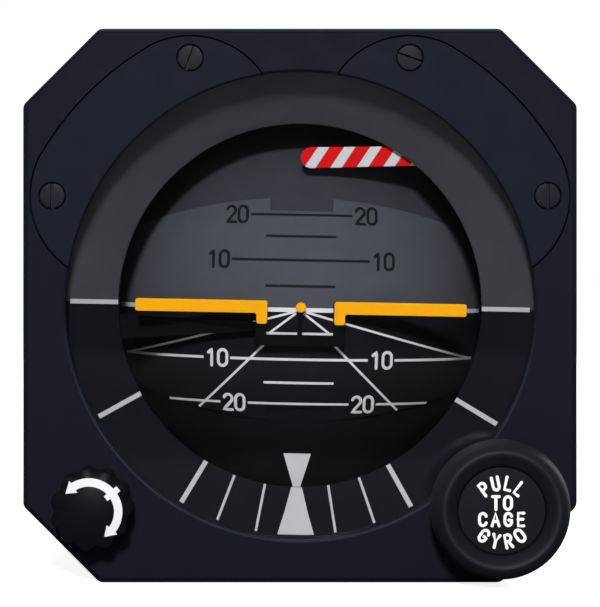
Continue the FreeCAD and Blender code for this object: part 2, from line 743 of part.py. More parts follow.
def make_housing_cover():
    """Flanged cover on the rotor cup, with the upper bearing boss and six ribs."""
    inner = HOUSING_R - HOUSING_WALL
    ceiling = HOUSING_HALF - HOUSING_WALL
    cover = upright_turned([
        (inner, SPLIT_Z), (HOUSING_R, SPLIT_Z), (HOUSING_R, HOUSING_HALF - 3), (HOUSING_R - 3, HOUSING_HALF - 1),
        (5.0, HOUSING_HALF - 1), (5.0, HOUSING_HALF), (0, HOUSING_HALF), (0, ceiling + 0.5),
        (AXLE_R + FIT, ceiling + 0.5), (AXLE_R + FIT, ceiling - 2.0), (4.0, ceiling - 2.0), (4.0, ceiling - 1),
        (inner, ceiling - 1)])
    for index in range(6):
        rib = block((4.5, -0.6, HOUSING_HALF - 1.5), (HOUSING_R - 3.2, 0.6, HOUSING_HALF - 0.3))
        rib.rotate(Vector(), Vector(0, 0, 1), 60 * index)
        rib.translate(Vector(0, GYRO_Y, 0))
        cover = cover.fuse(rib)
    return cover.removeSplitter()


def make_pitch_gear():
    """Gear on the right-hand trunnion that drives the pitch rack."""
    return on_cross_axis(gear(GYRO_TEETH, AXLE_R, -90, 23.2, 25.2), GYRO_Y)


def make_rotor():
    """Heavy-rimmed gyro rotor with its spindle."""
    tip = HOUSING_HALF - HOUSING_WALL + 0.3
    half = ROTOR_HALF
    return upright_turned([
        (0, -tip), (AXLE_R, -tip), (AXLE_R, -half + 1), (5.0, -half + 1), (6.0, -3.0), (10.5, -3.0),
        (11.5, -half), (ROTOR_R - 1, -half), (ROTOR_R, -half + 1), (ROTOR_R, half - 2), (ROTOR_R - 1, half - 1),
        (11.5, half - 1), (10.5, 3.0), (6.0, 3.0), (5.0, half - 1), (AXLE_R, half - 1), (AXLE_R, tip), (0, tip)])


# ---- erect knob ------------------------------------------------------------------------------------

KNOB_BACK = FRONT - KNOB_GAP
ERECT_FRONT = KNOB_BACK - 9.3


def make_erect_knob():
    """Round pull knob with a rolled rim, a dished face and a recess for its cap."""
    widest = KNOB_BACK - 5.0
    edges = [
        ((0, KNOB_BACK), (8.6, KNOB_BACK)),
        ((8.6, KNOB_BACK), (9.75, widest + 2.2), (ERECT_KNOB_R, widest)),
        ((ERECT_KNOB_R, widest), (9.55, ERECT_FRONT + 1.0), (8.25, ERECT_FRONT)),
        ((8.25, ERECT_FRONT), (7.2, ERECT_FRONT + 0.45), (ERECT_CAP_R, ERECT_FRONT + 1.4)),
        ((ERECT_CAP_R, ERECT_FRONT + 1.4), (ERECT_CAP_R, ERECT_FRONT + 2.6)),
        ((ERECT_CAP_R, ERECT_FRONT + 2.6), (0, ERECT_FRONT + 2.6)),
        ((0, ERECT_FRONT + 2.6), (0, KNOB_BACK)),
    ]
    body = turned(edges, ERECT_X, ERECT_Z)
    return body.cut(rod(ERECT_SHAFT_R, ERECT_FRONT + 2, KNOB_BACK + 1, ERECT_X, ERECT_Z))


def make_erect_cap():
    """Flat cap that carries the legend."""
    front = ERECT_FRONT + 1.5
    body = rod(ERECT_CAP_R, front, ERECT_FRONT + 2.6, ERECT_X, ERECT_Z)
    return body


def make_erect_shaft():
    """Pull shaft with the collar that its spring pushes on."""
    x, z = ERECT_X, ERECT_Z
    body = rod(ERECT_SHAFT_R, ERECT_FRONT + 2.6, ERECT_SHAFT_END, x, z)
    return body.fuse(rod(3.6, ERECT_SHAFT_END - 1.5, ERECT_SHAFT_END, x, z)).removeSplitter()


def make_erect_spring():
    """Compression spring between the dial plate and the collar, its wire six-sided."""
    start = PLATE_FRONT + PLATE_THICK
    wire_r = 0.25
    height = ERECT_SHAFT_END - 1.5 - start - 2 * wire_r
    coil_r = 2.9
    path = Part.makeHelix(height / SPRING_TURNS, height, coil_r)
    corners = []
    for index in range(6):
        angle = math.radians(60 * index)
        corners.append(Vector(coil_r + wire_r * math.cos(angle), 0, wire_r * math.sin(angle)))
    profile = Part.makePolygon(corners + corners[:1])
    spring = Part.Wire(path.Edges).makePipeShell([profile], True, True)
    spring.rotate(Vector(), Vector(1, 0, 0), -90)
    spring.translate(Vector(ERECT_X, start + wire_r, ERECT_Z))
    return spring


def make_erect_switch():
    """Small switch on the dial plate beside the shaft, with its leaf and three terminals."""
    base = PLATE_FRONT + PLATE_THICK
    body = block((33.2, base, -25.5), (38.4, base + 8, -14.5))
    body = body.fuse(block((33.9, base + 0.7, -26.6), (34.9, base + 1.1, -25.5)))
    for index in range(3):
        z = -23.0 + 3.0 * index
        body = body.fuse(block((35.0, base + 8, z - 0.8), (35.5, base + 11, z + 0.8)))
    return body.removeSplitter()


def make_bushing(outer, bore, x, z, back):
    """Flanged shaft bushing in the bezel."""
    return tube(outer, bore + FIT, FRONT, back, x, z)


# ---- trim knob and miniature aircraft ----------------------------------------------------------------

def make_trim_knob():
    """Small knob with rounded lobes and a domed face."""
    front = KNOB_BACK - 7.0
    step = 2 * math.pi / TRIM_LOBES
    edges = []
    for index in range(TRIM_LOBES):
        stops = ((-0.3, TRIM_SHOULDER_R), (0.0, TRIM_KNOB_R), (0.3, TRIM_SHOULDER_R), (0.5, TRIM_VALLEY_R),
                 (0.7, TRIM_SHOULDER_R))
        points = [Vector(TRIM_X + r * math.cos((index + t) * step), front, TRIM_Z + r * math.sin((index + t) * step))
                  for t, r in stops]
        edges.append(Part.Arc(*points[:3]).toShape())
        edges.append(Part.Arc(*points[2:]).toShape())
    body = Part.Face(Part.Wire(edges)).extrude(Vector(0, KNOB_BACK - front, 0))
    reach = TRIM_KNOB_R + 0.5
    shoulder = front + 1.3
    dome = turned([
        ((0, KNOB_BACK), (reach, KNOB_BACK)),
        ((reach, KNOB_BACK), (reach, shoulder)),
        dome_arc(reach, shoulder, front),
        ((0, front), (0, KNOB_BACK)),
    ], TRIM_X, TRIM_Z)
    body = body.common(dome)
    return body.cut(rod(TRIM_SHAFT_R, front + 2, KNOB_BACK + 1, TRIM_X, TRIM_Z)).removeSplitter()


def make_trim_shaft():
    """Trim shaft with the pinion that drives the slider."""
    shaft = rod(TRIM_SHAFT_R, KNOB_BACK - 5.0, PLATE_FRONT + PLATE_THICK - 0.2, TRIM_X, TRIM_Z)
    pinion = gear(TRIM_TEETH, TRIM_SHAFT_R, 0, SLIDER_Y, PLATE_FRONT - 0.4)
    pinion.translate(Vector(TRIM_X, 0, TRIM_Z))
    return shaft.fuse(pinion).removeSplitter()


def make_symbol_slider():
    """Vertical slider with a rack beside the trim pinion."""
    pitch_x = TRIM_X + TRIM_TEETH * MODULE / 2
    teeth = [(pitch_x + height, TRIM_Z + along) for along, height in rack_edge(4)]
    back = pitch_x + 2.8
    top = -23.0
    outline = [(back, teeth[0][1])] + teeth
    outline += [(pitch_x + 1.25 * MODULE, top), (SLIDER_LEFT, top), (SLIDER_LEFT, 13.5)]
    outline += [(SLIDER_RIGHT, 13.5), (SLIDER_RIGHT, top + 2), (back, top + 2)]
    return plate(outline, SLIDER_Y, PLATE_FRONT - 0.2)


def symbol_tilted(shape):
    """The miniature aircraft is set square to the banked gimbal."""
    return banked(shape)


def make_aircraft_symbol():
    """Two wing bars with inboard legs, and the centre dot."""
    back = SYMBOL_Y + SYMBOL_THICK
    pieces = []
    for side in (-1, 1):
        low = SYMBOL_Z - BAR_HALF
        high = SYMBOL_Z + BAR_HALF
        near = side * BAR_NEAR
        inner = side * (BAR_NEAR + LEG_WIDTH)
        far = side * (BAR_FAR - BAR_HALF)
        wing = plate([(near, high), (near, LEG_END), (inner, LEG_END), (inner, low), (far, low), (far, high)],
                     SYMBOL_Y, back)
        pieces.append(wing.fuse(rod(BAR_HALF, SYMBOL_Y, back, far, SYMBOL_Z)).removeSplitter())
    pieces.append(rod(0.78, SYMBOL_Y, back, 0, SYMBOL_Z))
    return symbol_tilted(Part.makeCompound(pieces))


def make_symbol_bracket():
    """Black bracket: two straps, a cross strap, the dot's post and the bent side arm."""
    front = SYMBOL_Y + SYMBOL_THICK
    back = front + BRACKET_THICK
    body = block((-BAR_NEAR - LEG_WIDTH, front, STRIP_END), (BAR_NEAR + LEG_WIDTH, back, STRIP_END + STRIP_WIDTH))
    for side in (-1, 1):
        left, right = sorted((side * BAR_NEAR, side * (BAR_NEAR + LEG_WIDTH)))
        body = body.fuse(block((left, front, STRIP_END), (right, back, SYMBOL_Z + BAR_HALF)))
    body = body.fuse(block((-0.35, front, STRIP_END), (0.35, back, SYMBOL_Z + 0.4)))
    knee = -APERTURE_R + 0.6
    foot = -BAR_NEAR - LEG_WIDTH + 0.4
    bent = flat_plate([
        (SLIDER_LEFT, ARM_Y), (knee, ARM_Y), (foot, front), (foot, back),
        (knee + 0.3, ARM_Y + BRACKET_THICK), (SLIDER_LEFT, ARM_Y + BRACKET_THICK)], -10, 5)
    face = plate([(SLIDER_LEFT, -1.4), (knee, -1.9), (foot, -2.6), (foot, -3.9), (knee, -5.7), (SLIDER_LEFT, -6.2)],
                 -8, 6)
    return symbol_tilted(body.fuse(bent.common(face)).removeSplitter())


# ---- warning flag --------------------------------------------------------------------------------------

def make_flag_blade():
    """Striped flag blade with a hub on its shaft."""
    back = FLAG_Y + FLAG_THICK
    body = capsule(FLAG_TIP, FLAG_HALF, FLAG_PIVOT, 2.4, FLAG_Y, back)
    return body.cut(rod(0.8, FLAG_Y - 1, back + 1, *FLAG_PIVOT))


def make_flag_shaft():
    """Shaft from the flag blade into its motor."""
    return rod(0.8, FLAG_Y - 0.3, PLATE_FRONT + PLATE_THICK + 2.5, *FLAG_PIVOT)


def make_flag_motor():
    """Small motor that lifts the flag, with a stepped can and two terminals."""
    front = PLATE_FRONT + PLATE_THICK
    x, z = FLAG_PIVOT
    body = rod(4.2, front, front + 9, x, z).fuse(rod(3.4, front + 9, front + 11, x, z))
    body = body.cut(rod(0.8 + FIT, front - 1, front + 2.7, x, z))
    for side in (-1, 1):
        body = body.fuse(rod(0.4, front + 10.5, front + 13, x + side * 1.6, z))
    return body.removeSplitter()


# ---- all pieces ------------------------------------------------------------------------------------------

def make_pieces():
    """Every node by name."""
    pieces = {
        "bezel": make_bezel(),
        "lamp_cover_left": make_lamp_cover(-1),
        "lamp_cover_right": make_lamp_cover(1),
        "dial_lamp_left": make_lamp(-1),
        "dial_lamp_right": make_lamp(1),
        "cover_glass": make_glass(),
        "glass_gasket": make_gasket(),
        "dial_ring": make_dial_ring(),
        "dial_plate": make_dial_plate(),
        "case_sleeve": make_case_sleeve(),
        "rear_cover": make_rear_cover(),
        "front_bulkhead": make_front_bulkhead(),
        "rear_bulkhead": make_rear_bulkhead(),
        "front_bearing": make_bearing(8.0, ROLL_SHAFT_R, FRONT_BULKHEAD),
        "rear_bearing": make_bearing(6.0, STUB_R, REAR_BULKHEAD),
        "power_board": make_power_board(),
        "transformer": make_transformer(),
        "brush_block": make_brush_block(),
        "connector_shell": make_connector_shell(),
        "connector_insert": make_connector_insert(),
        "erect_switch": make_erect_switch(),
        "erect_bushing": make_bushing(3.5, ERECT_SHAFT_R, ERECT_X, ERECT_Z, PLATE_FRONT),
        "trim_bushing": make_bushing(3.0, TRIM_SHAFT_R, TRIM_X, TRIM_Z, 0),
        "flag_motor": make_flag_motor(),
        "ball_yoke": banked(make_ball_yoke()),
        "bank_pointer": banked(make_bank_pointer()),
        "roll_shaft": banked(make_roll_shaft()),
        "gyro_frame": banked(make_gyro_frame()),
        "slip_rings": banked(make_slip_rings()),
        "ball_sky_half": banked(make_ball_half(1)),
        "ball_ground_half": banked(make_ball_half(-1)),
        "ball_scale_plate": banked(make_scale_plate()),
        "ball_axle": banked(make_ball_axle()),
        "rack_rod": banked(make_rack_rod()),
        "ball_rack": banked(make_ball_rack()),
        "gyro_rack": banked(make_gyro_rack()),
        "gyro_housing": banked(make_gyro_housing()),
        "housing_cover": banked(make_housing_cover()),
        "pitch_gear": banked(make_pitch_gear()),
        "rotor": banked(make_rotor()),
        "erect_knob": make_erect_knob(),
        "erect_knob_cap": make_erect_cap(),
        "erect_shaft": make_erect_shaft(),
        "erect_spring": make_erect_spring(),
        "trim_knob": make_trim_knob(),
        "trim_shaft": make_trim_shaft(),
        "symbol_slider": make_symbol_slider(),
        "symbol_bracket": make_symbol_bracket(),
        "aircraft_symbol": make_aircraft_symbol(),
        "flag_blade": make_flag_blade(),
        "flag_shaft": make_flag_shaft(),
    }
    slot_turns = (-70, 90, -20, 90)
    for index, ((x, z), slot_turn) in enumerate(zip(cover_screw_places(), slot_turns), start=1):
        pieces[f"cover_screw_{index}"] = screw(x, z, FRONT, COVER_SCREW_R, 0.8, 1.0, 6.0, slot_turn)
    for index, (x, z) in enumerate(corner_places(), start=1):
        pieces[f"rear_screw_{index}"] = make_rear_screw(x, z)
    return pieces


os.makedirs("parts", exist_ok=True)
for name, shape in make_pieces().items():
    shape.exportStep(f"parts/{name}.step")
    print(name, len(shape.Solids), round(shape.Volume, 2), shape.isValid())
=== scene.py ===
"""Standby attitude indicator for an instrument panel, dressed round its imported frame.

X is to the right seen from the front, Y runs aft along the roll axis and Z is up.  The mesh tools
work in millimetres, and as_piece() brings a finished mesh to metres, which the frame is in.
"""

import json
import logging
import math
from dataclasses import dataclass, field
from enum import Enum
from typing import Any, Callable, Optional, Sequence, Union

import bmesh
import bpy
import numpy as np
from mathutils import Matrix, Vector

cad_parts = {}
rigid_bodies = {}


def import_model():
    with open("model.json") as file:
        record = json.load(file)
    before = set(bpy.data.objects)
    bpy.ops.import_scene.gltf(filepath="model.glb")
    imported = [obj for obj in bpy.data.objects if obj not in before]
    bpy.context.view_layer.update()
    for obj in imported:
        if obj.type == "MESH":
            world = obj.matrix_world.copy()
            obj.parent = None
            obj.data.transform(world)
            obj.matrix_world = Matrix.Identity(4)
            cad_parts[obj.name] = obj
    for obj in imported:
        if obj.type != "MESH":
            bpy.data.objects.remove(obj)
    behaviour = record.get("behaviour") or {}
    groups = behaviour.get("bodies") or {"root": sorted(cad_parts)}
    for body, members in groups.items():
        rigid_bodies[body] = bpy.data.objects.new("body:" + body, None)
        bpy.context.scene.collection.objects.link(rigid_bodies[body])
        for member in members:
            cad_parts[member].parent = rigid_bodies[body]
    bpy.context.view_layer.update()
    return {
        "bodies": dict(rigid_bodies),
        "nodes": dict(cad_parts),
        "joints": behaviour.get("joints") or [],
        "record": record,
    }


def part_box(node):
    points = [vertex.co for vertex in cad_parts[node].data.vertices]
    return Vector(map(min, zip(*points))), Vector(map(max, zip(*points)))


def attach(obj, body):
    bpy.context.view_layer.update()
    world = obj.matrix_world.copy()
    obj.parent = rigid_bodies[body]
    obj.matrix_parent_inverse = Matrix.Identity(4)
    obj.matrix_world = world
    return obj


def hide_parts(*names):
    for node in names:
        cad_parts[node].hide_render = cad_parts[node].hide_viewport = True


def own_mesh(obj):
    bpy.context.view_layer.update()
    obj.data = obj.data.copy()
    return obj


LOG = logging.getLogger("indicator")
MM = 0.001
CREASE = 32.0
MERGE = 1e-3
Point = tuple[float, float]
Spot = tuple[float, float, float]
Colour = tuple[float, float, float]


def tint(red: int, green: int, blue: int) -> Colour:
    """Linear colour of a display colour.

    Args:
        red: Red, 0 to 255.
        green: Green, 0 to 255.
        blue: Blue, 0 to 255.

    Returns:
        The same colour in linear light.
    """
    parts = [value / 255 for value in (red, green, blue)]
    return tuple(v / 12.92 if v <= 0.04045 else ((v + 0.055) / 1.055) ** 2.4 for v in parts)


def linked(name: str, data: bpy.types.ID) -> bpy.types.Object:
    """Put a new object in the scene.

    Args:
        name: The object's name.
        data: Its mesh, light or camera.

    Returns:
        The object.
    """
    made = bpy.data.objects.new(name, data)
    bpy.context.scene.collection.objects.link(made)
    return made


# ---- node graphs --------------------------------------------------------------------------------

class Value:
    """An output socket that takes part in Python expressions."""

    def __init__(self, graph: "Graph", socket: bpy.types.NodeSocket) -> None:
        """Keep the socket and the graph that it belongs to."""
        self.graph = graph
        self.socket = socket

    def maths(self, operation: str, *values: Any) -> "Value":
        """Add a Math node.

        Args:
            operation: The node's operation.
            values: Its inputs, in order.

        Returns:
            The node's result.
        """
        return self.graph.node("ShaderNodeMath", {"operation": operation}, dict(enumerate(values)))

    def __add__(self, other: Any) -> "Value":
        """Sum."""
        return self.maths("ADD", self, other)

    def __radd__(self, other: Any) -> "Value":
        """Sum with a number first."""
        return self.maths("ADD", other, self)

    def __sub__(self, other: Any) -> "Value":
        """Difference."""
        return self.maths("SUBTRACT", self, other)

    def __rsub__(self, other: Any) -> "Value":
        """Difference with a number first."""
        return self.maths("SUBTRACT", other, self)

    def __mul__(self, other: Any) -> "Value":
        """Product."""
        return self.maths("MULTIPLY", self, other)

    def __rmul__(self, other: Any) -> "Value":
        """Product with a number first."""
        return self.maths("MULTIPLY", other, self)

    def __gt__(self, other: Any) -> "Value":
        """One where this is the greater."""
        return self.maths("GREATER_THAN", self, other)

    def held(self) -> "Value":
        """This value kept between 0 and 1."""
        return self.maths("MINIMUM", self.maths("MAXIMUM", self, 0.0), 1.0)

    def fraction(self) -> "Value":
        """The part after the point."""
        return self.maths("FRACT", self)


class Graph:
    """Builds the nodes of one shader or geometry tree."""

    def __init__(self, tree: bpy.types.NodeTree) -> None:
        """Work in the given tree."""
        self.tree = tree

    def node(self, kind: str, settings: Optional[dict] = None, sockets: Optional[dict] = None,
             output: Union[int, str] = 0) -> Value:
        """Add a node.

        Args:
            kind: The node's type.
            settings: Properties, set first; "stops" fills a colour ramp.
            sockets: Values or links, by input name or index.
            output: Which output is returned.

        Returns:
            The output socket as a value.
        """
        made = self.tree.nodes.new(kind)
        for name, value in (settings or {}).items():
            if name == "stops":
                self.fill_ramp(made.color_ramp, value)
            else:
                setattr(made, name, value)
        for name, value in (sockets or {}).items():
            self.feed(self.find(made.inputs, name), value)
        return Value(self, self.find(made.outputs, output) if len(made.outputs) else None)

    def find(self, sockets: Any, name: Union[int, str]) -> bpy.types.NodeSocket:
        """The socket of a node by its place, identifier or name.

        Args:
            sockets: The node's inputs or outputs.
            name: An index, an identifier or a name.

        Returns:
            The socket.
        """
        if isinstance(name, int):
            return sockets[name]
        for socket in sockets:
            if socket.identifier == name:
                return socket
        return sockets[name]

    def feed(self, socket: bpy.types.NodeSocket, value: Any) -> None:
        """Link a value to an input, or set the input to a constant.

        Args:
            socket: The input.
            value: A Value, several Values, or a constant.
        """
        if isinstance(value, Value):
            self.tree.links.new(value.socket, socket)
        elif isinstance(value, list) and value and isinstance(value[0], Value):
            for one in value:
                self.tree.links.new(one.socket, socket)
        elif socket.type == "RGBA" and len(value) == 3:
            socket.default_value = (*value, 1.0)
        else:
            socket.default_value = value

    def fill_ramp(self, ramp: bpy.types.ColorRamp, stops: Sequence[tuple[float, Colour]]) -> None:
        """Set a colour ramp's stops.

        Args:
            ramp: The ramp, which starts with two stops.
            stops: Places and colours, in order.
        """
        while len(ramp.elements) < len(stops):
            ramp.elements.new(1.0)
        for element, (place, colour) in zip(ramp.elements, stops):
            element.position = place
            element.color = (*colour, 1.0)

    def blend(self, factor: Any, first: Any, second: Any) -> Value:
        """Mix two colours.

        Args:
            factor: 0 for the first, 1 for the second.
            first: A colour.
            second: A colour.

        Returns:
            The mixed colour.
        """
        return self.node("ShaderNodeMix", {"data_type": "RGBA"},
                         {"Factor_Float": factor, "A_Color": first, "B_Color": second}, "Result_Color")

    def choose(self, factor: Any, first: Value, second: Value) -> Value:
        """The first shader where the factor is 0, the second where it is 1."""
        return self.node("ShaderNodeMixShader", {}, {0: factor, 1: first, 2: second})

    def vector(self, operation: str, first: Any, second: Any = (0, 0, 0)) -> Value:
        """A number that a Vector Math node finds from one or two vectors."""
        return self.node("ShaderNodeVectorMath", {"operation": operation}, {0: first, 1: second}, "Value")

    def ray(self, kind: str) -> Value:
        """One for light rays of a kind, such as Camera or Glossy."""
        return self.node("ShaderNodeLightPath", output=f"Is {kind} Ray")

    def place(self, shift: Spot = (0, 0, 0), stretch: Spot = (1, 1, 1), turn: Spot = (0, 0, 0)) -> Value:
        """Object coordinates, moved, scaled and turned.

        Args:
            shift: Metres added.
            stretch: Scale of each axis.
            turn: Rotation in radians.

        Returns:
            The coordinates.
        """
        own = self.node("ShaderNodeTexCoord", output="Object")
        return self.node("ShaderNodeMapping", {}, {"Vector": own, "Location": shift, "Rotation": turn,
                                                   "Scale": stretch})

    def noise(self, size: float, detail: float = 2.0, stretch: Spot = (1, 1, 1)) -> Value:
        """Noise of a given grain.

        Args:
            size: Grain in millimetres.
            detail: Octaves.
            stretch: Scale of each axis, to draw the grain out.

        Returns:
            The noise, 0 to 1.
        """
        return self.node("ShaderNodeTexNoise", {}, {"Vector": self.place(stretch=stretch),
                                                   "Scale": 1.0 / (size * MM), "Detail": detail}, "Fac")

    def along(self, direction: Spot, origin: Spot = (0, 0, 0)) -> Value:
        """Signed distance in millimetres along a direction.

        Args:
            direction: Unit vector.
            origin: Millimetres, where the distance is 0.

        Returns:
            The distance.
        """
        shift = tuple(-part * MM for part in origin)
        return self.vector("DOT_PRODUCT", self.place(shift), direction) * (1 / MM)


def fresh_graph(owner: Union[bpy.types.Material, bpy.types.World]) -> Graph:
    """The node graph of a new material or world, emptied.

    Args:
        owner: The material or world.

    Returns:
        The graph.
    """
    owner.use_nodes = True
    owner.node_tree.nodes.clear()
    return Graph(owner.node_tree)


# ---- finishes -----------------------------------------------------------------------------------

@dataclass(frozen=True)
class Finish:
    """Painted, moulded or machined surface with a fine grain, mottling and relief."""

    name: str
    colour: Colour
    roughness: float = 0.5
    metallic: float = 0.0
    coat: float = 0.0
    gloss: float = 0.5
    mottle: float = 0.16
    mottle_size: float = 6.0
    grain: float = 0.22
    relief: float = 0.010
    stretch: Spot = (1, 1, 1)
    rough_swing: float = 0.18
    bump: float = 0.6
    coat_roughness: float = 0.25

    def material(self) -> bpy.types.Material:
        """The finish as a material, made once.

        Returns:
            The material.
        """
        label = self.name + "_finish"
        made = bpy.data.materials.get(label)
        if made is None:
            made = bpy.data.materials.new(label)
            graph = fresh_graph(made)
            graph.node("ShaderNodeOutputMaterial", {}, {"Surface": self.surface(graph)})
        return made

    def base(self, graph: Graph) -> Union[Value, Colour]:
        """Colour before mottling; a plain finish has one."""
        return self.colour

    def shade(self, graph: Graph) -> Value:
        """Colour with mottling.

        Args:
            graph: The material's graph.

        Returns:
            The colour.
        """
        cloud = (graph.noise(self.mottle_size, 3.0) - 0.5) * (2 * self.mottle)
        speck = (graph.noise(self.grain, 1.0, self.stretch) - 0.5) * self.mottle
        level = 1.0 + cloud + speck
        return graph.node("ShaderNodeVectorMath", {"operation": "SCALE"},
                          {0: self.base(graph), "Scale": level}, "Vector")

    def surface(self, graph: Graph) -> Value:
        """The finish's shader.

        Args:
            graph: The material's graph.

        Returns:
            The shader.
        """
        fine = graph.noise(self.grain, 2.0, self.stretch)
        cloud = graph.noise(self.mottle_size * 0.6, 2.0) - 0.5
        rough = (self.roughness + cloud * self.rough_swing).held()
        bump = graph.node("ShaderNodeBump", {}, {"Height": fine, "Strength": self.bump,
                                                 "Distance": self.relief * MM}, "Normal")
        return graph.node("ShaderNodeBsdfPrincipled", {}, {
            "Base Color": self.shade(graph), "Roughness": rough, "Metallic": self.metallic,
            "Coat Weight": self.coat, "Coat Roughness": self.coat_roughness, "Specular IOR Level": self.gloss,
            "Normal": bump})


@dataclass(frozen=True)
class TwoTone(Finish):
    """Two paints that meet on a plane."""

    below: Colour = (0, 0, 0)
    up: Spot = (0, 0, 1)
    origin: Spot = (0, 0, 0)
    crisp: float = 12.0

    def base(self, graph: Graph) -> Value:
        """The upper or the lower colour, with a crisp masked edge between them."""
        mask = (graph.along(self.up, self.origin) * self.crisp + 0.5).held()
        return graph.blend(mask, self.below, self.colour)


@dataclass(frozen=True)
class EdgeWorn(Finish):
    """Paint lightened along a plate's top edge and the lower rim of its window: a painted highlight where light
    from above catches the edges, made patchy by noise.
    """

    worn: Colour = (0, 0, 0)
    top: float = 40.0
    rim: float = 36.0
    width: float = 0.3
    rim_fade: float = 0.06
    top_fade: float = 3.0
    patch_size: float = 3.0

    def base(self, graph: Graph) -> Value:
        """The paint, with the painted highlight colour on both edges.

        Args:
            graph: The material's graph.

        Returns:
            The colour.
        """
        radius = graph.vector("LENGTH", graph.place(stretch=(1, 0, 1))) * (1 / MM)
        lift = graph.along((0, 0, 1))
        # Painted highlight on the window rim: a narrow band, kept to the rim's lower half, which faces the light
        # from above.
        ring = (1.0 - radius.maths("ABSOLUTE", radius - self.rim) * (1 / self.width)).held()
        low = (lift * -self.rim_fade).held()
        # Painted highlight along the plate's top edge.
        edge = ((lift - self.top) * self.top_fade).held()
        patchy = graph.noise(self.patch_size, 2.0) * 0.5 + 0.5
        return graph.blend(((ring * low + edge) * patchy).held(), self.colour, self.worn)


@dataclass(frozen=True)
class Stripes(Finish):
    """Slanted stripes of two paints across a blade."""

    second: Colour = (0, 0, 0)
    direction: Spot = (1, 0, 0)
    origin: Spot = (0, 0, 0)
    period: float = 4.0
    share: float = 0.55
    crisp: float = 30.0

    def base(self, graph: Graph) -> Value:
        """The colour of the stripe at each place.

        Args:
            graph: The material's graph.

        Returns:
            The colour.
        """
        step = (graph.along(self.direction, self.origin) * (1 / self.period)).fraction()
        rise = ((step - self.share) * self.crisp + 0.5).held()
        fall = ((step - 1.0) * self.crisp + 1.0).held()
        return graph.blend((rise - fall).held(), self.colour, self.second)


@dataclass(frozen=True)
class ClearGlass(Finish):
    """Thin clear glass: light passes straight through and its faces reflect."""

    index: float = 1.42
    haze: float = 0.02

    def surface(self, graph: Graph) -> Value:
        """Transparent mixed with a polished reflection.

        Args:
            graph: The material's graph.

        Returns:
            The shader.
        """
        clear = graph.node("ShaderNodeBsdfTransparent", {}, {"Color": self.colour})
        haze = (graph.noise(self.mottle_size, 2.0) * self.haze + self.roughness).held()
        polish = graph.node("ShaderNodeBsdfAnisotropic", {}, {"Roughness": haze})
        edge = graph.node("ShaderNodeFresnel", {}, {"IOR": self.index})
        return graph.choose(edge, clear, polish)


ROLL_REST = math.radians(1.1)
PITCH_REST = math.radians(1.3)


def banked(spot: Spot) -> Spot:
    """Turn a place about the roll axis by the rest bank."""
    (x, y, z), cos, sin = spot, math.cos(ROLL_REST), math.sin(ROLL_REST)
    return (x * cos + z * sin, y, z * cos - x * sin)


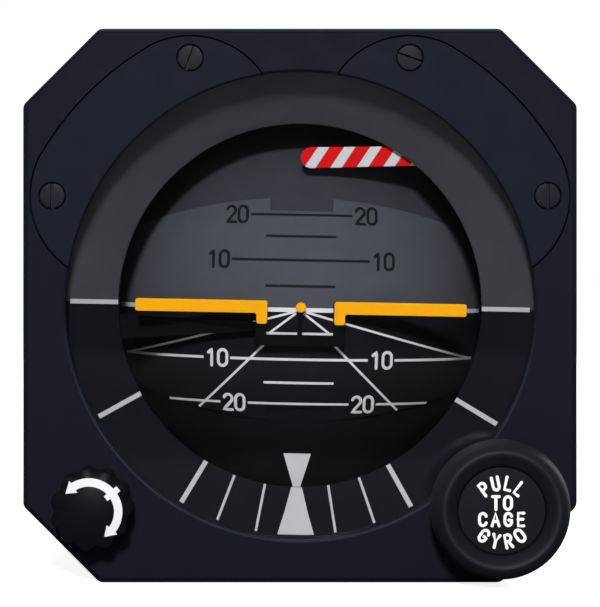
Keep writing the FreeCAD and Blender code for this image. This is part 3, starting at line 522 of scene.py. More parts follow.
def finishes() -> dict[str, Finish]:
    """Every finish, by the name of its material slot.

    Returns:
        The finishes.
    """
    up = banked((0, 0, 1))
    along_y = (1, 0.12, 1)
    ball_y = 30.5
    pole = banked((0, -math.sin(PITCH_REST), math.cos(PITCH_REST)))
    made = [
        # The bezel's lighter top edge and lower window rim are a painted highlight, not wear.
        EdgeWorn("bezel_paint", tint(15, 16, 28), 0.6, gloss=0.05, relief=0.006, mottle=0.10,
                 worn=tint(44, 50, 64), top=40.85, rim=35.25, width=0.22),
        Finish("cover_paint", tint(16, 18, 31), 0.58, gloss=0.05, relief=0.006, mottle=0.10),
        Finish("black_screw", tint(13, 14, 24), 0.5, gloss=0.1, relief=0.008),
        ClearGlass("glass", (0.985, 0.99, 0.99), 0.02),
        ClearGlass("bulb_glass", (0.9, 0.86, 0.78), 0.05),
        Finish("rubber_seal", tint(12, 12, 16), 0.8, gloss=0.1, relief=0.02),
        TwoTone("dial_paint", tint(66, 66, 73), 0.78, gloss=0.1, below=tint(17, 15, 25), up=up),
        Finish("cast_aluminium", (0.50, 0.51, 0.52), 0.5, 1.0, relief=0.03, grain=0.4),
        Finish("machined_aluminium", (0.66, 0.67, 0.68), 0.34, 1.0, stretch=along_y, grain=0.12),
        Finish("case_paint", tint(27, 28, 33), 0.44, relief=0.012, grain=0.3),
        Finish("bearing_steel", (0.56, 0.56, 0.57), 0.22, 1.0, grain=0.1, relief=0.004),
        Finish("plated_steel", (0.60, 0.59, 0.56), 0.3, 1.0, grain=0.15, relief=0.006),
        Finish("board", tint(34, 92, 52), 0.45, coat=0.4, grain=0.3),
        Finish("winding_tape", tint(176, 140, 62), 0.55, grain=0.5, relief=0.03, stretch=(1, 4, 1)),
        Finish("insulation", tint(44, 44, 48), 0.6),
        Finish("connector_plating", tint(118, 120, 98), 0.4, 1.0, grain=0.2, relief=0.01),
        Finish("contact_insert", tint(46, 46, 48), 0.6),
        Finish("brass_bush", (0.70, 0.50, 0.22), 0.32, 1.0, grain=0.1),
        Finish("slip_ring_gold", (0.85, 0.62, 0.26), 0.25, 1.0, grain=0.1),
        Finish("ball_sky", tint(53, 53, 60), 0.78, gloss=0.1),
        Finish("ball_ground", tint(15, 13, 20), 0.78, gloss=0.1),
        TwoTone("ball_scale", tint(70, 72, 79), 0.76, gloss=0.12, below=tint(15, 13, 20), up=pole,
                origin=(0, ball_y, 0)),
        Finish("pointer_white", tint(190, 188, 192), 0.7, gloss=0.1, mottle=0.05),
        Finish("gyro_housing_metal", (0.58, 0.58, 0.59), 0.38, 1.0, stretch=(1, 1, 0.15)),
        Finish("rotor_brass", (0.64, 0.49, 0.26), 0.3, 1.0, stretch=(1, 1, 0.15)),
        Finish("knob_plastic", tint(12, 14, 23), 0.6, gloss=0.2, relief=0.012, grain=0.3),
        Finish("cap_plastic", tint(13, 14, 20), 0.62, gloss=0.1, relief=0.012, grain=0.25),
        Finish("trim_plastic", tint(12, 11, 17), 0.4, gloss=0.05, relief=0.003),
        Finish("spring_steel", (0.5, 0.5, 0.51), 0.25, 1.0, grain=0.1),
        Finish("symbol_yellow", tint(233, 161, 2), 0.6, gloss=0.06, mottle=0.05),
        Finish("bracket_black", tint(9, 8, 12), 0.8, gloss=0.05, relief=0.004),
        Stripes("flag_stripes", tint(196, 6, 8), 0.6, gloss=0.06, second=tint(190, 190, 196),
                direction=(0.83, 0, -0.557), origin=(0.28, 0, 0), period=3.36, mottle=0.05),
    ]
    return {finish.name: finish for finish in made}


PRINT_WHITE = Finish("print_white", tint(212, 211, 214), 0.7, gloss=0.2, mottle=0.05, mottle_size=2.0)
PRINT_DIAL = Finish("print_dial", tint(190, 189, 192), 0.7, gloss=0.1, mottle=0.05, mottle_size=2.0)
PRINT_BRIGHT = Finish("print_bright", tint(226, 226, 229), 0.6, gloss=0.2, mottle=0.04, mottle_size=2.0)
PRINT_DARK = Finish("print_dark", tint(13, 13, 17), 0.75, gloss=0.2, mottle=0.08, mottle_size=2.0)


# ---- outlines and meshes ------------------------------------------------------------------------

def arc(centre: Point, radius: float, start: float, end: float, count: int = 24) -> list[Point]:
    """Points along an arc.

    Args:
        centre: Its centre.
        radius: Its radius.
        start: First angle in degrees.
        end: Last angle in degrees.
        count: Number of stretches.

    Returns:
        The points, both ends included.
    """
    angles = [math.radians(start + (end - start) * step / count) for step in range(count + 1)]
    return [(centre[0] + radius * math.cos(a), centre[1] + radius * math.sin(a)) for a in angles]


def refined(path: Sequence[Point], step: float) -> list[Point]:
    """Add points to a path, so that it can follow a curved surface.

    Args:
        path: The path.
        step: Longest stretch that is left.

    Returns:
        The path with its own points and those added.
    """
    finer = [path[0]]
    for start, end in zip(path, path[1:]):
        count = max(1, math.ceil(math.dist(start, end) / step))
        for index in range(1, count + 1):
            share = index / count
            finer.append((start[0] + (end[0] - start[0]) * share, start[1] + (end[1] - start[1]) * share))
    return finer


def softened(corners: Sequence[Point], reach: float, closed: bool = True, steps: int = 5) -> list[Point]:
    """Round the corners of a line.

    Args:
        corners: The corners.
        reach: How far along each side a corner is rounded.
        closed: Whether the line is a loop; an open line keeps its ends.
        steps: Stretches in each corner.

    Returns:
        The rounded line.
    """
    rounded: list[Point] = []
    last = len(corners) - 1
    for index, corner in enumerate(corners):
        if not closed and index in (0, last):
            rounded.append(corner)
            continue
        here = Vector(corner)
        sides = [Vector(corners[index - 1]) - here, Vector(corners[(index + 1) % (last + 1)]) - here]
        ends = [here + side.normalized() * min(reach, side.length * 0.45) for side in sides]
        for step in range(steps + 1):
            t = step / steps
            point = ends[0] * (1 - t) ** 2 + here * (2 * t * (1 - t)) + ends[1] * t ** 2
            rounded.append((point.x, point.y))
    return rounded


def inset(outline: Sequence[Point], depth: float) -> list[Point]:
    """Draw in a loop that runs counter-clockwise.

    Args:
        outline: The loop.
        depth: Distance inwards.

    Returns:
        The loop drawn in, with as many points.
    """
    spots = np.array(outline, float)
    ahead = np.roll(spots, -1, 0) - spots
    ahead /= np.linalg.norm(ahead, axis=1)[:, None]
    normal = np.stack([-ahead[:, 1], ahead[:, 0]], 1)
    before = np.roll(normal, 1, 0)
    share = 1 + (normal * before).sum(1)
    moved = spots + (normal + before) / np.maximum(share, 0.4)[:, None] * depth
    return [tuple(spot) for spot in moved.tolist()]


def make_object(name: str, spots: Sequence[Spot], faces: Sequence[Sequence[int]]) -> bpy.types.Object:
    """A mesh object from its points and faces, in millimetres.

    Args:
        name: The object's name.
        spots: Its points.
        faces: Its faces, as lists of point numbers.

    Returns:
        The object.
    """
    mesh = bpy.data.meshes.new(name)
    mesh.from_pydata([tuple(spot) for spot in spots], [], faces)
    mesh.update()
    return linked(name, mesh)


def loft(name: str, outline: Sequence[Point], steps: Sequence[Point]) -> bpy.types.Object:
    """A plate whose edge follows a profile.

    Args:
        name: The object's name.
        outline: Counter-clockwise (x, z) loop.
        steps: (depth drawn in, y) pairs from front to back.

    Returns:
        The plate.
    """
    count = len(outline)
    spots: list[Spot] = []
    faces: list[list[int]] = []
    for depth, y in steps:
        spots += [(x, y, z) for x, z in inset(outline, depth)]
    for row in range(len(steps) - 1):
        low = row * count
        for index in range(count):
            ahead = (index + 1) % count
            faces.append([low + index, low + ahead, low + count + ahead, low + count + index])
    faces.append(list(range(count))[::-1])
    faces.append(list(range(len(spots) - count, len(spots))))
    return outward(make_object(name, spots, faces))


def lathe(name: str, profile: Sequence[Point], centre: Point = (0, 0), count: int = 160,
          rim: Optional[Callable[[float, float], float]] = None) -> bpy.types.Object:
    """A solid turned about the Y direction.

    Args:
        name: The object's name.
        profile: Closed (radius, y) loop; radius 0 is on the axis.
        centre: (x, z) of the axis.
        count: Stretches round the axis.
        rim: Gives the radius at (radius, angle), for a rim that isn't round.

    Returns:
        The solid.
    """
    spots: list[Spot] = []
    rows: list[list[int]] = []
    for radius, y in profile:
        if radius < 1e-9:
            rows.append([len(spots)] * count)
            spots.append((centre[0], y, centre[1]))
            continue
        rows.append(list(range(len(spots), len(spots) + count)))
        for index in range(count):
            angle = 2 * math.pi * index / count
            reach = rim(radius, angle) if rim else radius
            spots.append((centre[0] + reach * math.cos(angle), y, centre[1] + reach * math.sin(angle)))
    faces = []
    for first, second in zip(rows, rows[1:] + rows[:1]):
        for index in range(count):
            ahead = (index + 1) % count
            corners = [first[index], first[ahead], second[ahead], second[index]]
            corners = [spot for place, spot in enumerate(corners) if spot not in corners[:place]]
            if len(corners) > 2:
                faces.append(corners)
    return outward(make_object(name, spots, faces))


def rod(name: str, radius: float, start: float, end: float, centre: Point = (0, 0),
        count: int = 48) -> bpy.types.Object:
    """A round rod along Y.

    Args:
        name: The object's name.
        radius: Its radius.
        start: Y of its front end.
        end: Y of its rear end.
        centre: (x, z) of its axis.
        count: Stretches round it.

    Returns:
        The rod.
    """
    return lathe(name, [(0, start), (radius, start), (radius, end), (0, end)], centre, count)


def box(name: str, low: Spot, high: Spot) -> bpy.types.Object:
    """A block between two corners.

    Args:
        name: The object's name.
        low: Lowest corner.
        high: Highest corner.

    Returns:
        The block.
    """
    outline = [(low[0], low[2]), (high[0], low[2]), (high[0], high[2]), (low[0], high[2])]
    return loft(name, outline, [(0, low[1]), (0, high[1])])


def outward(made: bpy.types.Object, merge: float = 1e-5) -> bpy.types.Object:
    """Merge doubled points and turn every face outwards.

    Args:
        made: The object.
        merge: Distance below which points are merged.

    Returns:
        The same object.
    """
    work = bmesh.new()
    work.from_mesh(made.data)
    bmesh.ops.remove_doubles(work, verts=work.verts, dist=merge)
    bmesh.ops.recalc_face_normals(work, faces=work.faces)
    work.to_mesh(made.data)
    work.free()
    return made


def freeze(made: bpy.types.Object) -> bpy.types.Object:
    """Replace an object's mesh by what its modifiers make, and clear them.

    Args:
        made: The object.

    Returns:
        The same object.
    """
    graph = bpy.context.evaluated_depsgraph_get()
    graph.update()
    mesh = bpy.data.meshes.new_from_object(made.evaluated_get(graph), depsgraph=graph)
    made.modifiers.clear()
    made.data = mesh
    return made


def discard(made: bpy.types.Object) -> None:
    """Remove an object that was only a tool."""
    bpy.data.objects.remove(made)


def carve(body: bpy.types.Object, tools: Sequence[bpy.types.Object]) -> bpy.types.Object:
    """Cut tools out of a body, and discard them.

    Args:
        body: The body.
        tools: What is cut out.

    Returns:
        The body.
    """
    for tool in tools:
        cut = body.modifiers.new("cut", "BOOLEAN")
        cut.operation = "DIFFERENCE"
        cut.solver = "EXACT"
        cut.object = tool
    freeze(body)
    for tool in tools:
        discard(tool)
    return body


def joined(name: str, parts: Sequence[bpy.types.Object]) -> bpy.types.Object:
    """One object from several, whose meshes stay as they are.

    Args:
        name: The object's name.
        parts: The objects, which are discarded.

    Returns:
        The joined object.
    """
    work = bmesh.new()
    for part in parts:
        work.from_mesh(part.data)
    mesh = bpy.data.meshes.new(name)
    work.to_mesh(mesh)
    work.free()
    for part in parts:
        discard(part)
    return linked(name, mesh)


def as_piece(made: bpy.types.Object, finish: Finish, crease: float = CREASE) -> bpy.types.Object:
    """Shade a finished mesh, give it its material and bring it to metres.

    Args:
        made: The object, in millimetres.
        finish: Its finish.
        crease: Edges sharper than this many degrees stay sharp.

    Returns:
        The same object.
    """
    outward(made)
    made.data.transform(Matrix.Scale(MM, 4))
    made.data.materials.clear()
    made.data.materials.append(finish.material())
    made.data.shade_smooth()
    made.data.set_sharp_from_angle(angle=math.radians(crease))
    return made


def smooth_copy(node: bpy.types.Object, finish: Finish, crease: float = CREASE) -> bpy.types.Object:
    """A merged, smoothly shaded copy of a frame node's mesh.

    Args:
        node: The frame's node.
        finish: The copy's finish.
        crease: Edges sharper than this many degrees stay sharp.

    Returns:
        The copy.
    """
    made = linked(node.name + "_dressed", node.data.copy())
    made.data.transform(Matrix.Scale(1 / MM, 4))
    outward(made, MERGE)
    return as_piece(made, finish, crease)


# ---- repeated and printed shapes made by Geometry Nodes -----------------------------------------

class Trees:
    """The Geometry Nodes trees that the sub-assemblies share."""

    def __init__(self) -> None:
        """Build both trees."""
        self.strokes = self.stroke_tree()
        self.repeats = self.repeat_tree()

    def new_tree(self, name: str, inputs: Sequence[tuple[str, str]]) -> tuple[Graph, dict[str, Value]]:
        """Start a tree with named inputs and one geometry output.

        Args:
            name: The tree's name.
            inputs: Names and socket types, after the geometry.

        Returns:
            The graph, and the inputs by name.
        """
        tree = bpy.data.node_groups.new(name, "GeometryNodeTree")
        tree.interface.new_socket(name="Geometry", in_out="INPUT", socket_type="NodeSocketGeometry")
        for label, kind in inputs:
            tree.interface.new_socket(name=label, in_out="INPUT", socket_type=kind)
        tree.interface.new_socket(name="Geometry", in_out="OUTPUT", socket_type="NodeSocketGeometry")
        graph = Graph(tree)
        entry = tree.nodes.new("NodeGroupInput")
        return graph, {socket.name: Value(graph, socket) for socket in entry.outputs if socket.name}

    def finish(self, graph: Graph, shape: Value, material: Value) -> bpy.types.NodeTree:
        """End a tree in Realize Instances and Set Material.

        Args:
            graph: The tree's graph.
            shape: Its geometry.
            material: The material input.

        Returns:
            The tree.
        """
        real = graph.node("GeometryNodeRealizeInstances", {}, {"Geometry": shape})
        painted = graph.node("GeometryNodeSetMaterial", {}, {"Geometry": real, "Material": material})
        graph.node("NodeGroupOutput", {}, {0: painted})
        return graph.tree

    def stroke_tree(self) -> bpy.types.NodeTree:
        """A tree that gives width to paths, with round or square ends.

        Returns:
            The tree.
        """
        graph, given = self.new_tree("printed_strokes", [
            ("Sides", "NodeSocketInt"), ("Round Ends", "NodeSocketBool"), ("Material", "NodeSocketMaterial")])
        half = graph.node("GeometryNodeInputNamedAttribute", {"data_type": "FLOAT"}, {"Name": "half_width"})
        path = graph.node("GeometryNodeMeshToCurve", {}, {"Mesh": given["Geometry"]})
        ring = graph.node("GeometryNodeCurvePrimitiveCircle", {"mode": "RADIUS"},
                          {"Resolution": given["Sides"], "Radius": 1.0})
        band = graph.node("GeometryNodeCurveToMesh", {},
                          {"Curve": path, "Profile Curve": ring, "Scale": half, "Fill Caps": True})
        ends = graph.node("GeometryNodeCurveEndpointSelection")
        ball = graph.node("GeometryNodeMeshUVSphere", {}, {"Segments": 14, "Rings": 8, "Radius": 1.0})
        caps = graph.node("GeometryNodeInstanceOnPoints", {},
                          {"Points": path, "Selection": ends, "Instance": ball, "Scale": half})
        both = graph.node("GeometryNodeJoinGeometry", {}, {"Geometry": [band, caps]})
        chosen = graph.node("GeometryNodeSwitch", {"input_type": "GEOMETRY"},
                            {"Switch": given["Round Ends"], "False": band, "True": both})
        return self.finish(graph, chosen, given["Material"])

    def repeat_tree(self) -> bpy.types.NodeTree:
        """A tree that sets one part at each point, turned about Y by the point's own angle.

        Returns:
            The tree.
        """
        graph, given = self.new_tree("repeated_part", [
            ("Part", "NodeSocketObject"), ("Material", "NodeSocketMaterial")])
        turn = graph.node("GeometryNodeInputNamedAttribute", {"data_type": "FLOAT_VECTOR"}, {"Name": "turn"})
        part = graph.node("GeometryNodeObjectInfo", {"transform_space": "ORIGINAL"},
                          {"Object": given["Part"], "As Instance": True}, "Geometry")
        set_out = graph.node("GeometryNodeInstanceOnPoints", {},
                             {"Points": given["Geometry"], "Instance": part, "Rotation": turn})
        return self.finish(graph, set_out, given["Material"])

    def run(self, made: bpy.types.Object, tree: bpy.types.NodeTree, values: dict[str, Any]) -> bpy.types.Object:
        """Run a tree on an object and keep its result as a plain mesh.

        Args:
            made: The object.
            tree: The tree.
            values: Its inputs, by name.

        Returns:
            The same object.
        """
        modifier = made.modifiers.new(tree.name, "NODES")
        modifier.node_group = tree
        for item in tree.interface.items_tree:
            if item.in_out == "INPUT" and item.name in values:
                modifier[item.identifier] = values[item.name]
        return freeze(made)

    def repeat(self, name: str, part: bpy.types.Object, places: Sequence[Spot], turns: Sequence[float],
               finish: Finish) -> bpy.types.Object:
        """Set a part at several places.

        Args:
            name: The new object's name.
            part: The part, made at the origin, which is discarded.
            places: Where it goes.
            turns: Its turn about Y at each place, in degrees.
            finish: Its finish.

        Returns:
            The repeated parts as one piece.
        """
        made = make_object(name, places, [])
        angles = made.data.attributes.new("turn", "FLOAT_VECTOR", "POINT")
        for item, turn in zip(angles.data, turns):
            item.vector = (0, math.radians(turn), 0)
        self.run(made, self.repeats, {"Part": part, "Material": finish.material()})
        discard(part)
        return as_piece(made, finish)


@dataclass
class Stroke:
    """A printed line: its path, and its width at each point or throughout."""

    path: list[Spot]
    width: Union[float, list[float]]

    def halves(self) -> list[float]:
        """Half the width at each point.

        Returns:
            The half widths.
        """
        if isinstance(self.width, list):
            return [width / 2 for width in self.width]
        return [self.width / 2] * len(self.path)


@dataclass(frozen=True)
class Flat:
    """A surface square to the roll axis, which print lies on."""

    y: float

    def lay(self, x: float, z: float) -> Spot:
        """The place on the surface in front of (x, z)."""
        return (x, self.y, z)

    def height(self, spots: np.ndarray) -> tuple[np.ndarray, np.ndarray]:
        """Height of each point over the surface, and the way out of it.

        Args:
            spots: The points.

        Returns:
            Heights and outward directions.
        """
        out = np.zeros_like(spots)
        out[:, 1] = -1
        return self.y - spots[:, 1], out


@dataclass(frozen=True)
class Ball:
    """A sphere that print lies on."""

    centre: Spot
    radius: float

    def lay(self, x: float, z: float) -> Spot:
        """The place on the front of the sphere at (x, z) from its centre."""
        depth = math.sqrt(max(self.radius ** 2 - x ** 2 - z ** 2, 0.0))
        return (self.centre[0] + x, self.centre[1] - depth, self.centre[2] + z)

    def height(self, spots: np.ndarray) -> tuple[np.ndarray, np.ndarray]:
        """Height of each point over the surface, and the way out of it.

        Args:
            spots: The points.

        Returns:
            Heights and outward directions.
        """
        out = spots - np.array(self.centre)
        far = np.linalg.norm(out, axis=1)
        return far - self.radius, out / far[:, None]


@dataclass(frozen=True)
class Cone:
    """A cone about the roll axis, seen from inside, that print lies on."""

    outer: Point
    inner: Point

    def lay(self, share: float, angle: float) -> Spot:
        """A place on the cone.

        Args:
            share: 0 at its outer edge, 1 at its inner.
            angle: Degrees clockwise from straight down.

        Returns:
            The place.
        """
        radius = self.outer[0] + (self.inner[0] - self.outer[0]) * share
        y = self.outer[1] + (self.inner[1] - self.outer[1]) * share
        return (-radius * math.sin(math.radians(angle)), y, -radius * math.cos(math.radians(angle)))

    def height(self, spots: np.ndarray) -> tuple[np.ndarray, np.ndarray]:
        """Height of each point over the surface, and the way out of it.

        Args:
            spots: The points.

        Returns:
            Heights and outward directions.
        """
        run = Vector((self.inner[0] - self.outer[0], self.inner[1] - self.outer[1])).normalized()
        radius = np.hypot(spots[:, 0], spots[:, 2])
        high = -(radius - self.outer[0]) * run.y + (spots[:, 1] - self.outer[1]) * run.x
        out = np.stack([-spots[:, 0] / radius * run.y, np.full(len(spots), run.x),
                        -spots[:, 2] / radius * run.y], 1)
        return high, out


@dataclass
class Printer:
    """Prints strokes on a surface as thin closed bands of paint."""

    trees: Trees
    thin: float = 0.03
    lift: float = 0.02
    sides: int = 10

    def print(self, name: str, strokes: Sequence[Stroke], surface: Union[Flat, Ball, Cone], finish: Finish,
              round_ends: bool = False) -> bpy.types.Object:
        """Print strokes on a surface.

        Args:
            name: The piece's name.
            strokes: The strokes, on the surface.
            surface: The surface.
            finish: The paint.
            round_ends: Whether strokes end round.

        Returns:
            The piece.
        """
        spots: list[Spot] = []
        edges: list[tuple[int, int]] = []
        halves: list[float] = []
        for stroke in strokes:
            start = len(spots)
            spots += stroke.path
            halves += stroke.halves()
            edges += [(place, place + 1) for place in range(start, len(spots) - 1)]
        mesh = bpy.data.meshes.new(name)
        mesh.from_pydata(spots, edges, [])
        mesh.attributes.new("half_width", "FLOAT", "POINT").data.foreach_set("value", halves)
        made = linked(name, mesh)
        self.trees.run(made, self.trees.strokes, {"Sides": self.sides, "Round Ends": round_ends,
                                                  "Material": finish.material()})
        self.press(made.data, surface)
        return as_piece(made, finish)

    def press(self, mesh: bpy.types.Mesh, surface: Union[Flat, Ball, Cone]) -> None:
        """Flatten bands on to their surface.

        Args:
            mesh: The bands, whose paths lie on the surface.
            surface: The surface.
        """
        spots = np.zeros(len(mesh.vertices) * 3)
        mesh.vertices.foreach_get("co", spots)
        spots = spots.reshape(-1, 3)
        high, out = surface.height(spots)
        target = high * self.thin + self.lift
        spots += out * (target - high)[:, None]
        mesh.vertices.foreach_set("co", spots.ravel())
        mesh.update()


class Lettering:
    """A plain narrow letter in strokes, in a box 1 high and from -0.5 to 0.5 times its width."""

    def __init__(self) -> None:
        """Draw the letters that are used."""
        loop = [(-0.26, 0), (-0.26, 1), (0.04, 1)] + arc((0.04, 0.74), 0.26, 90, -90, 8) + [(-0.26, 0.48)]
        roof, bowl = arc((0, 0.66), 0.32, 20, 180, 10), arc((0, 0.34), 0.32, 180, 350, 10)
        self.shapes: dict[str, list[list[Point]]] = {
            "0": [self.oval(0.28, 0.5)],
            "1": [[(-0.16, 0.80), (0.06, 1.0), (0.06, 0.0)]],
            "2": [arc((0, 0.72), 0.27, 165, -30, 10) + [(-0.28, 0.0), (0.29, 0.0)]],
            "A": [[(-0.32, 0), (0, 1), (0.32, 0)], [(-0.2, 0.34), (0.2, 0.34)]],
            "C": [roof + arc((0, 0.34), 0.32, 180, 340, 10)],
            "E": [[(0.26, 1), (-0.26, 1), (-0.26, 0), (0.26, 0)], [(-0.26, 0.52), (0.18, 0.52)]],
            "G": [roof + bowl + [(0.32, 0.45), (0.06, 0.45)]],
            "L": [[(-0.24, 1), (-0.24, 0), (0.26, 0)]],
            "O": [self.oval(0.34, 0.5)],
            "P": [loop],
            "R": [loop, [(0.0, 0.48), (0.3, 0)]],
            "T": [[(-0.3, 1), (0.3, 1)], [(0, 1), (0, 0)]],
            "U": [[(-0.28, 1)] + arc((0, 0.28), 0.28, 180, 360, 10) + [(0.28, 1)]],
            "Y": [[(-0.3, 1), (0, 0.48), (0.3, 1)], [(0, 0.48), (0, 0)]],
        }

    def oval(self, half: float, middle: float) -> list[Point]:
        """A straight-sided oval of full height.

        Args:
            half: Half its width.
            middle: Its middle height.

        Returns:
            Its path, whose ends meet.
        """
        rise = middle - half
        path = arc((0, middle + rise), half, 0, 180, 10) + arc((0, middle - rise), half, 180, 360, 10)
        return path + path[:1]

    def word(self, text: str, height: float, place: Point, pitch: float,
             ring: Optional[tuple[Point, float, float]] = None, squeeze: float = 1.0) -> list[list[Point]]:
        """Paths of a word's strokes.

        Args:
            text: The word.
            height: Letter height.
            place: Middle of a straight word, as (x, z).
            pitch: Distance between letters, or degrees on a ring.
            ring: Centre, radius and middle angle in degrees from up, for a word on an arc.
            squeeze: Scale of the letters' width.

        Returns:
            The strokes' paths as (x, z) points.
        """
        paths = []
        for index, letter in enumerate(text):
            step = index - (len(text) - 1) / 2
            for shape in self.shapes[letter]:
                local = [(x * height * squeeze, (z - 0.5) * height) for x, z in shape]
                if ring is None:
                    paths.append([(place[0] + step * pitch + x, place[1] + z) for x, z in local])
                    continue
                centre, radius, middle = ring
                upright = math.cos(math.radians(middle)) >= 0
                lean = math.radians(middle + (step if upright else -step) * pitch)
                face = lean if upright else lean + math.pi
                paths.append([self.turn_in(centre, radius, lean, face, x, z) for x, z in local])
        return paths

    def turn_in(self, centre: Point, radius: float, lean: float, face: float, x: float, z: float) -> Point:
        """A letter's point set on a ring.

        Args:
            centre: The ring's centre.
            radius: The ring's radius.
            lean: Angle of the letter's place from up, clockwise.
            face: Angle that the letter is turned by.
            x: Across the letter.
            z: Up the letter.

        Returns:
            The point.
        """
        return (centre[0] + radius * math.sin(lean) + x * math.cos(face) + z * math.sin(face),
                centre[1] + radius * math.cos(lean) - x * math.sin(face) + z * math.cos(face))


# ---- fitting pieces to the frame ------------------------------------------------------------------

class Body(Enum):
    """The moving bodies of the frame."""

    CASE = "case"
    ROLL = "roll_gimbal"
    BALL = "ball"
    ERECT = "erect_pull"
    TRIM = "trim"
    SYMBOL = "miniature_aircraft"
    FLAG = "flag"


@dataclass
class Bench:
    """What every sub-assembly works with."""

    frame: dict
    paints: dict[str, Finish] = field(default_factory=finishes)
    trees: Trees = field(default_factory=Trees)
    letters: Lettering = field(default_factory=Lettering)

    def __post_init__(self) -> None:
        """Set up the printer."""
        self.printer = Printer(self.trees)

    def fit(self, piece: bpy.types.Object, body: Body, slot: str, *nodes: str) -> bpy.types.Object:
        """Fit a finished piece to its body.

        Args:
            piece: The piece.
            body: The body that it rides on.
            slot: The piece's material slot; not used.
            nodes: Frame nodes that it stands for.

        Returns:
            The piece.
        """
        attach(piece, body.value)
        if nodes:
            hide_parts(*nodes)
        LOG.info("%s rides on %s, %d faces", piece.name, body.value, len(piece.data.polygons))
        return piece

    def smooth(self, node: str, body: Body, slot: str, crease: float = CREASE) -> bpy.types.Object:
        """Stand a smooth copy of a frame node in its place.

        Args:
            node: The node.
            body: Its body.
            slot: Its material slot.
            crease: Edges sharper than this many degrees stay sharp.

        Returns:
            The copy.
        """
        return self.fit(smooth_copy(self.frame["nodes"][node], self.paints[slot], crease), body, slot, node)

    def span(self, node: str) -> tuple[Vector, Vector]:
        """A node's corners in millimetres.

        Args:
            node: The node.

        Returns:
            Its lowest and highest corner.
        """
        low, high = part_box(node)
        return low / MM, high / MM

    def centre(self, node: str) -> Point:
        """A node's middle as (x, z) in millimetres."""
        low, high = self.span(node)
        return ((low.x + high.x) / 2, (low.z + high.z) / 2)

    def dress(self, made: bpy.types.Object, body: Body, slot: str, *nodes: str,
              crease: float = CREASE) -> bpy.types.Object:
        """Paint a mesh in its slot's finish, and fit it to its body.

        Args:
            made: The mesh object, in millimetres.
            body: The body that it rides on.
            slot: Its material slot.
            nodes: Frame nodes that it stands for.
            crease: Edges sharper than this many degrees stay sharp.

        Returns:
            The piece.
        """
        return self.fit(as_piece(made, self.paints[slot], crease), body, slot, *nodes)

    def mark(self, name: str, strokes: Sequence[Stroke], surface: Union[Flat, Ball, Cone], finish: Finish,
             body: Body, slot: str, round_ends: bool = False) -> bpy.types.Object:
        """Print strokes on a surface, and fit them to its body.

        Args:
            name: The piece's name.
            strokes: The strokes, on the surface.
            surface: The surface.
            finish: The paint.
            body: The body that they ride on.
            slot: The slot of what they are printed on.
            round_ends: Whether strokes end round.

        Returns:
            The piece.
        """
        return self.fit(self.printer.print(name, strokes, surface, finish, round_ends), body, slot)


def slotted_screw(name: str, radius: float, thick: float, slot_width: float, slot_depth: float,
                  dome: float) -> bpy.types.Object:
    """A slotted screw head at the origin, its face towards the front.

    Args:
        name: The object's name.
        radius: Head radius.
        thick: Head thickness.
        slot_width: Width of the slot.
        slot_depth: Depth of the slot.
        dome: Rise of the head's middle.

    Returns:
        The head.
    """
    shares = (0.0, 0.3, 0.55, 0.75)
    crown = [(radius * share, dome * share ** 2) for share in shares]
    corners = [(radius * shares[-1], dome * 0.56), (radius, dome), (radius, thick), (0, thick)]
    rim = softened(corners, 0.16, False)
    head = lathe(name, crown + rim[1:], count=64)
    slot = box(name + "_slot", (-radius - 1, -1, -slot_width / 2), (radius + 1, slot_depth, slot_width / 2))
    return carve(head, [slot])


# ---- front of the case ---------------------------------------------------------------------------

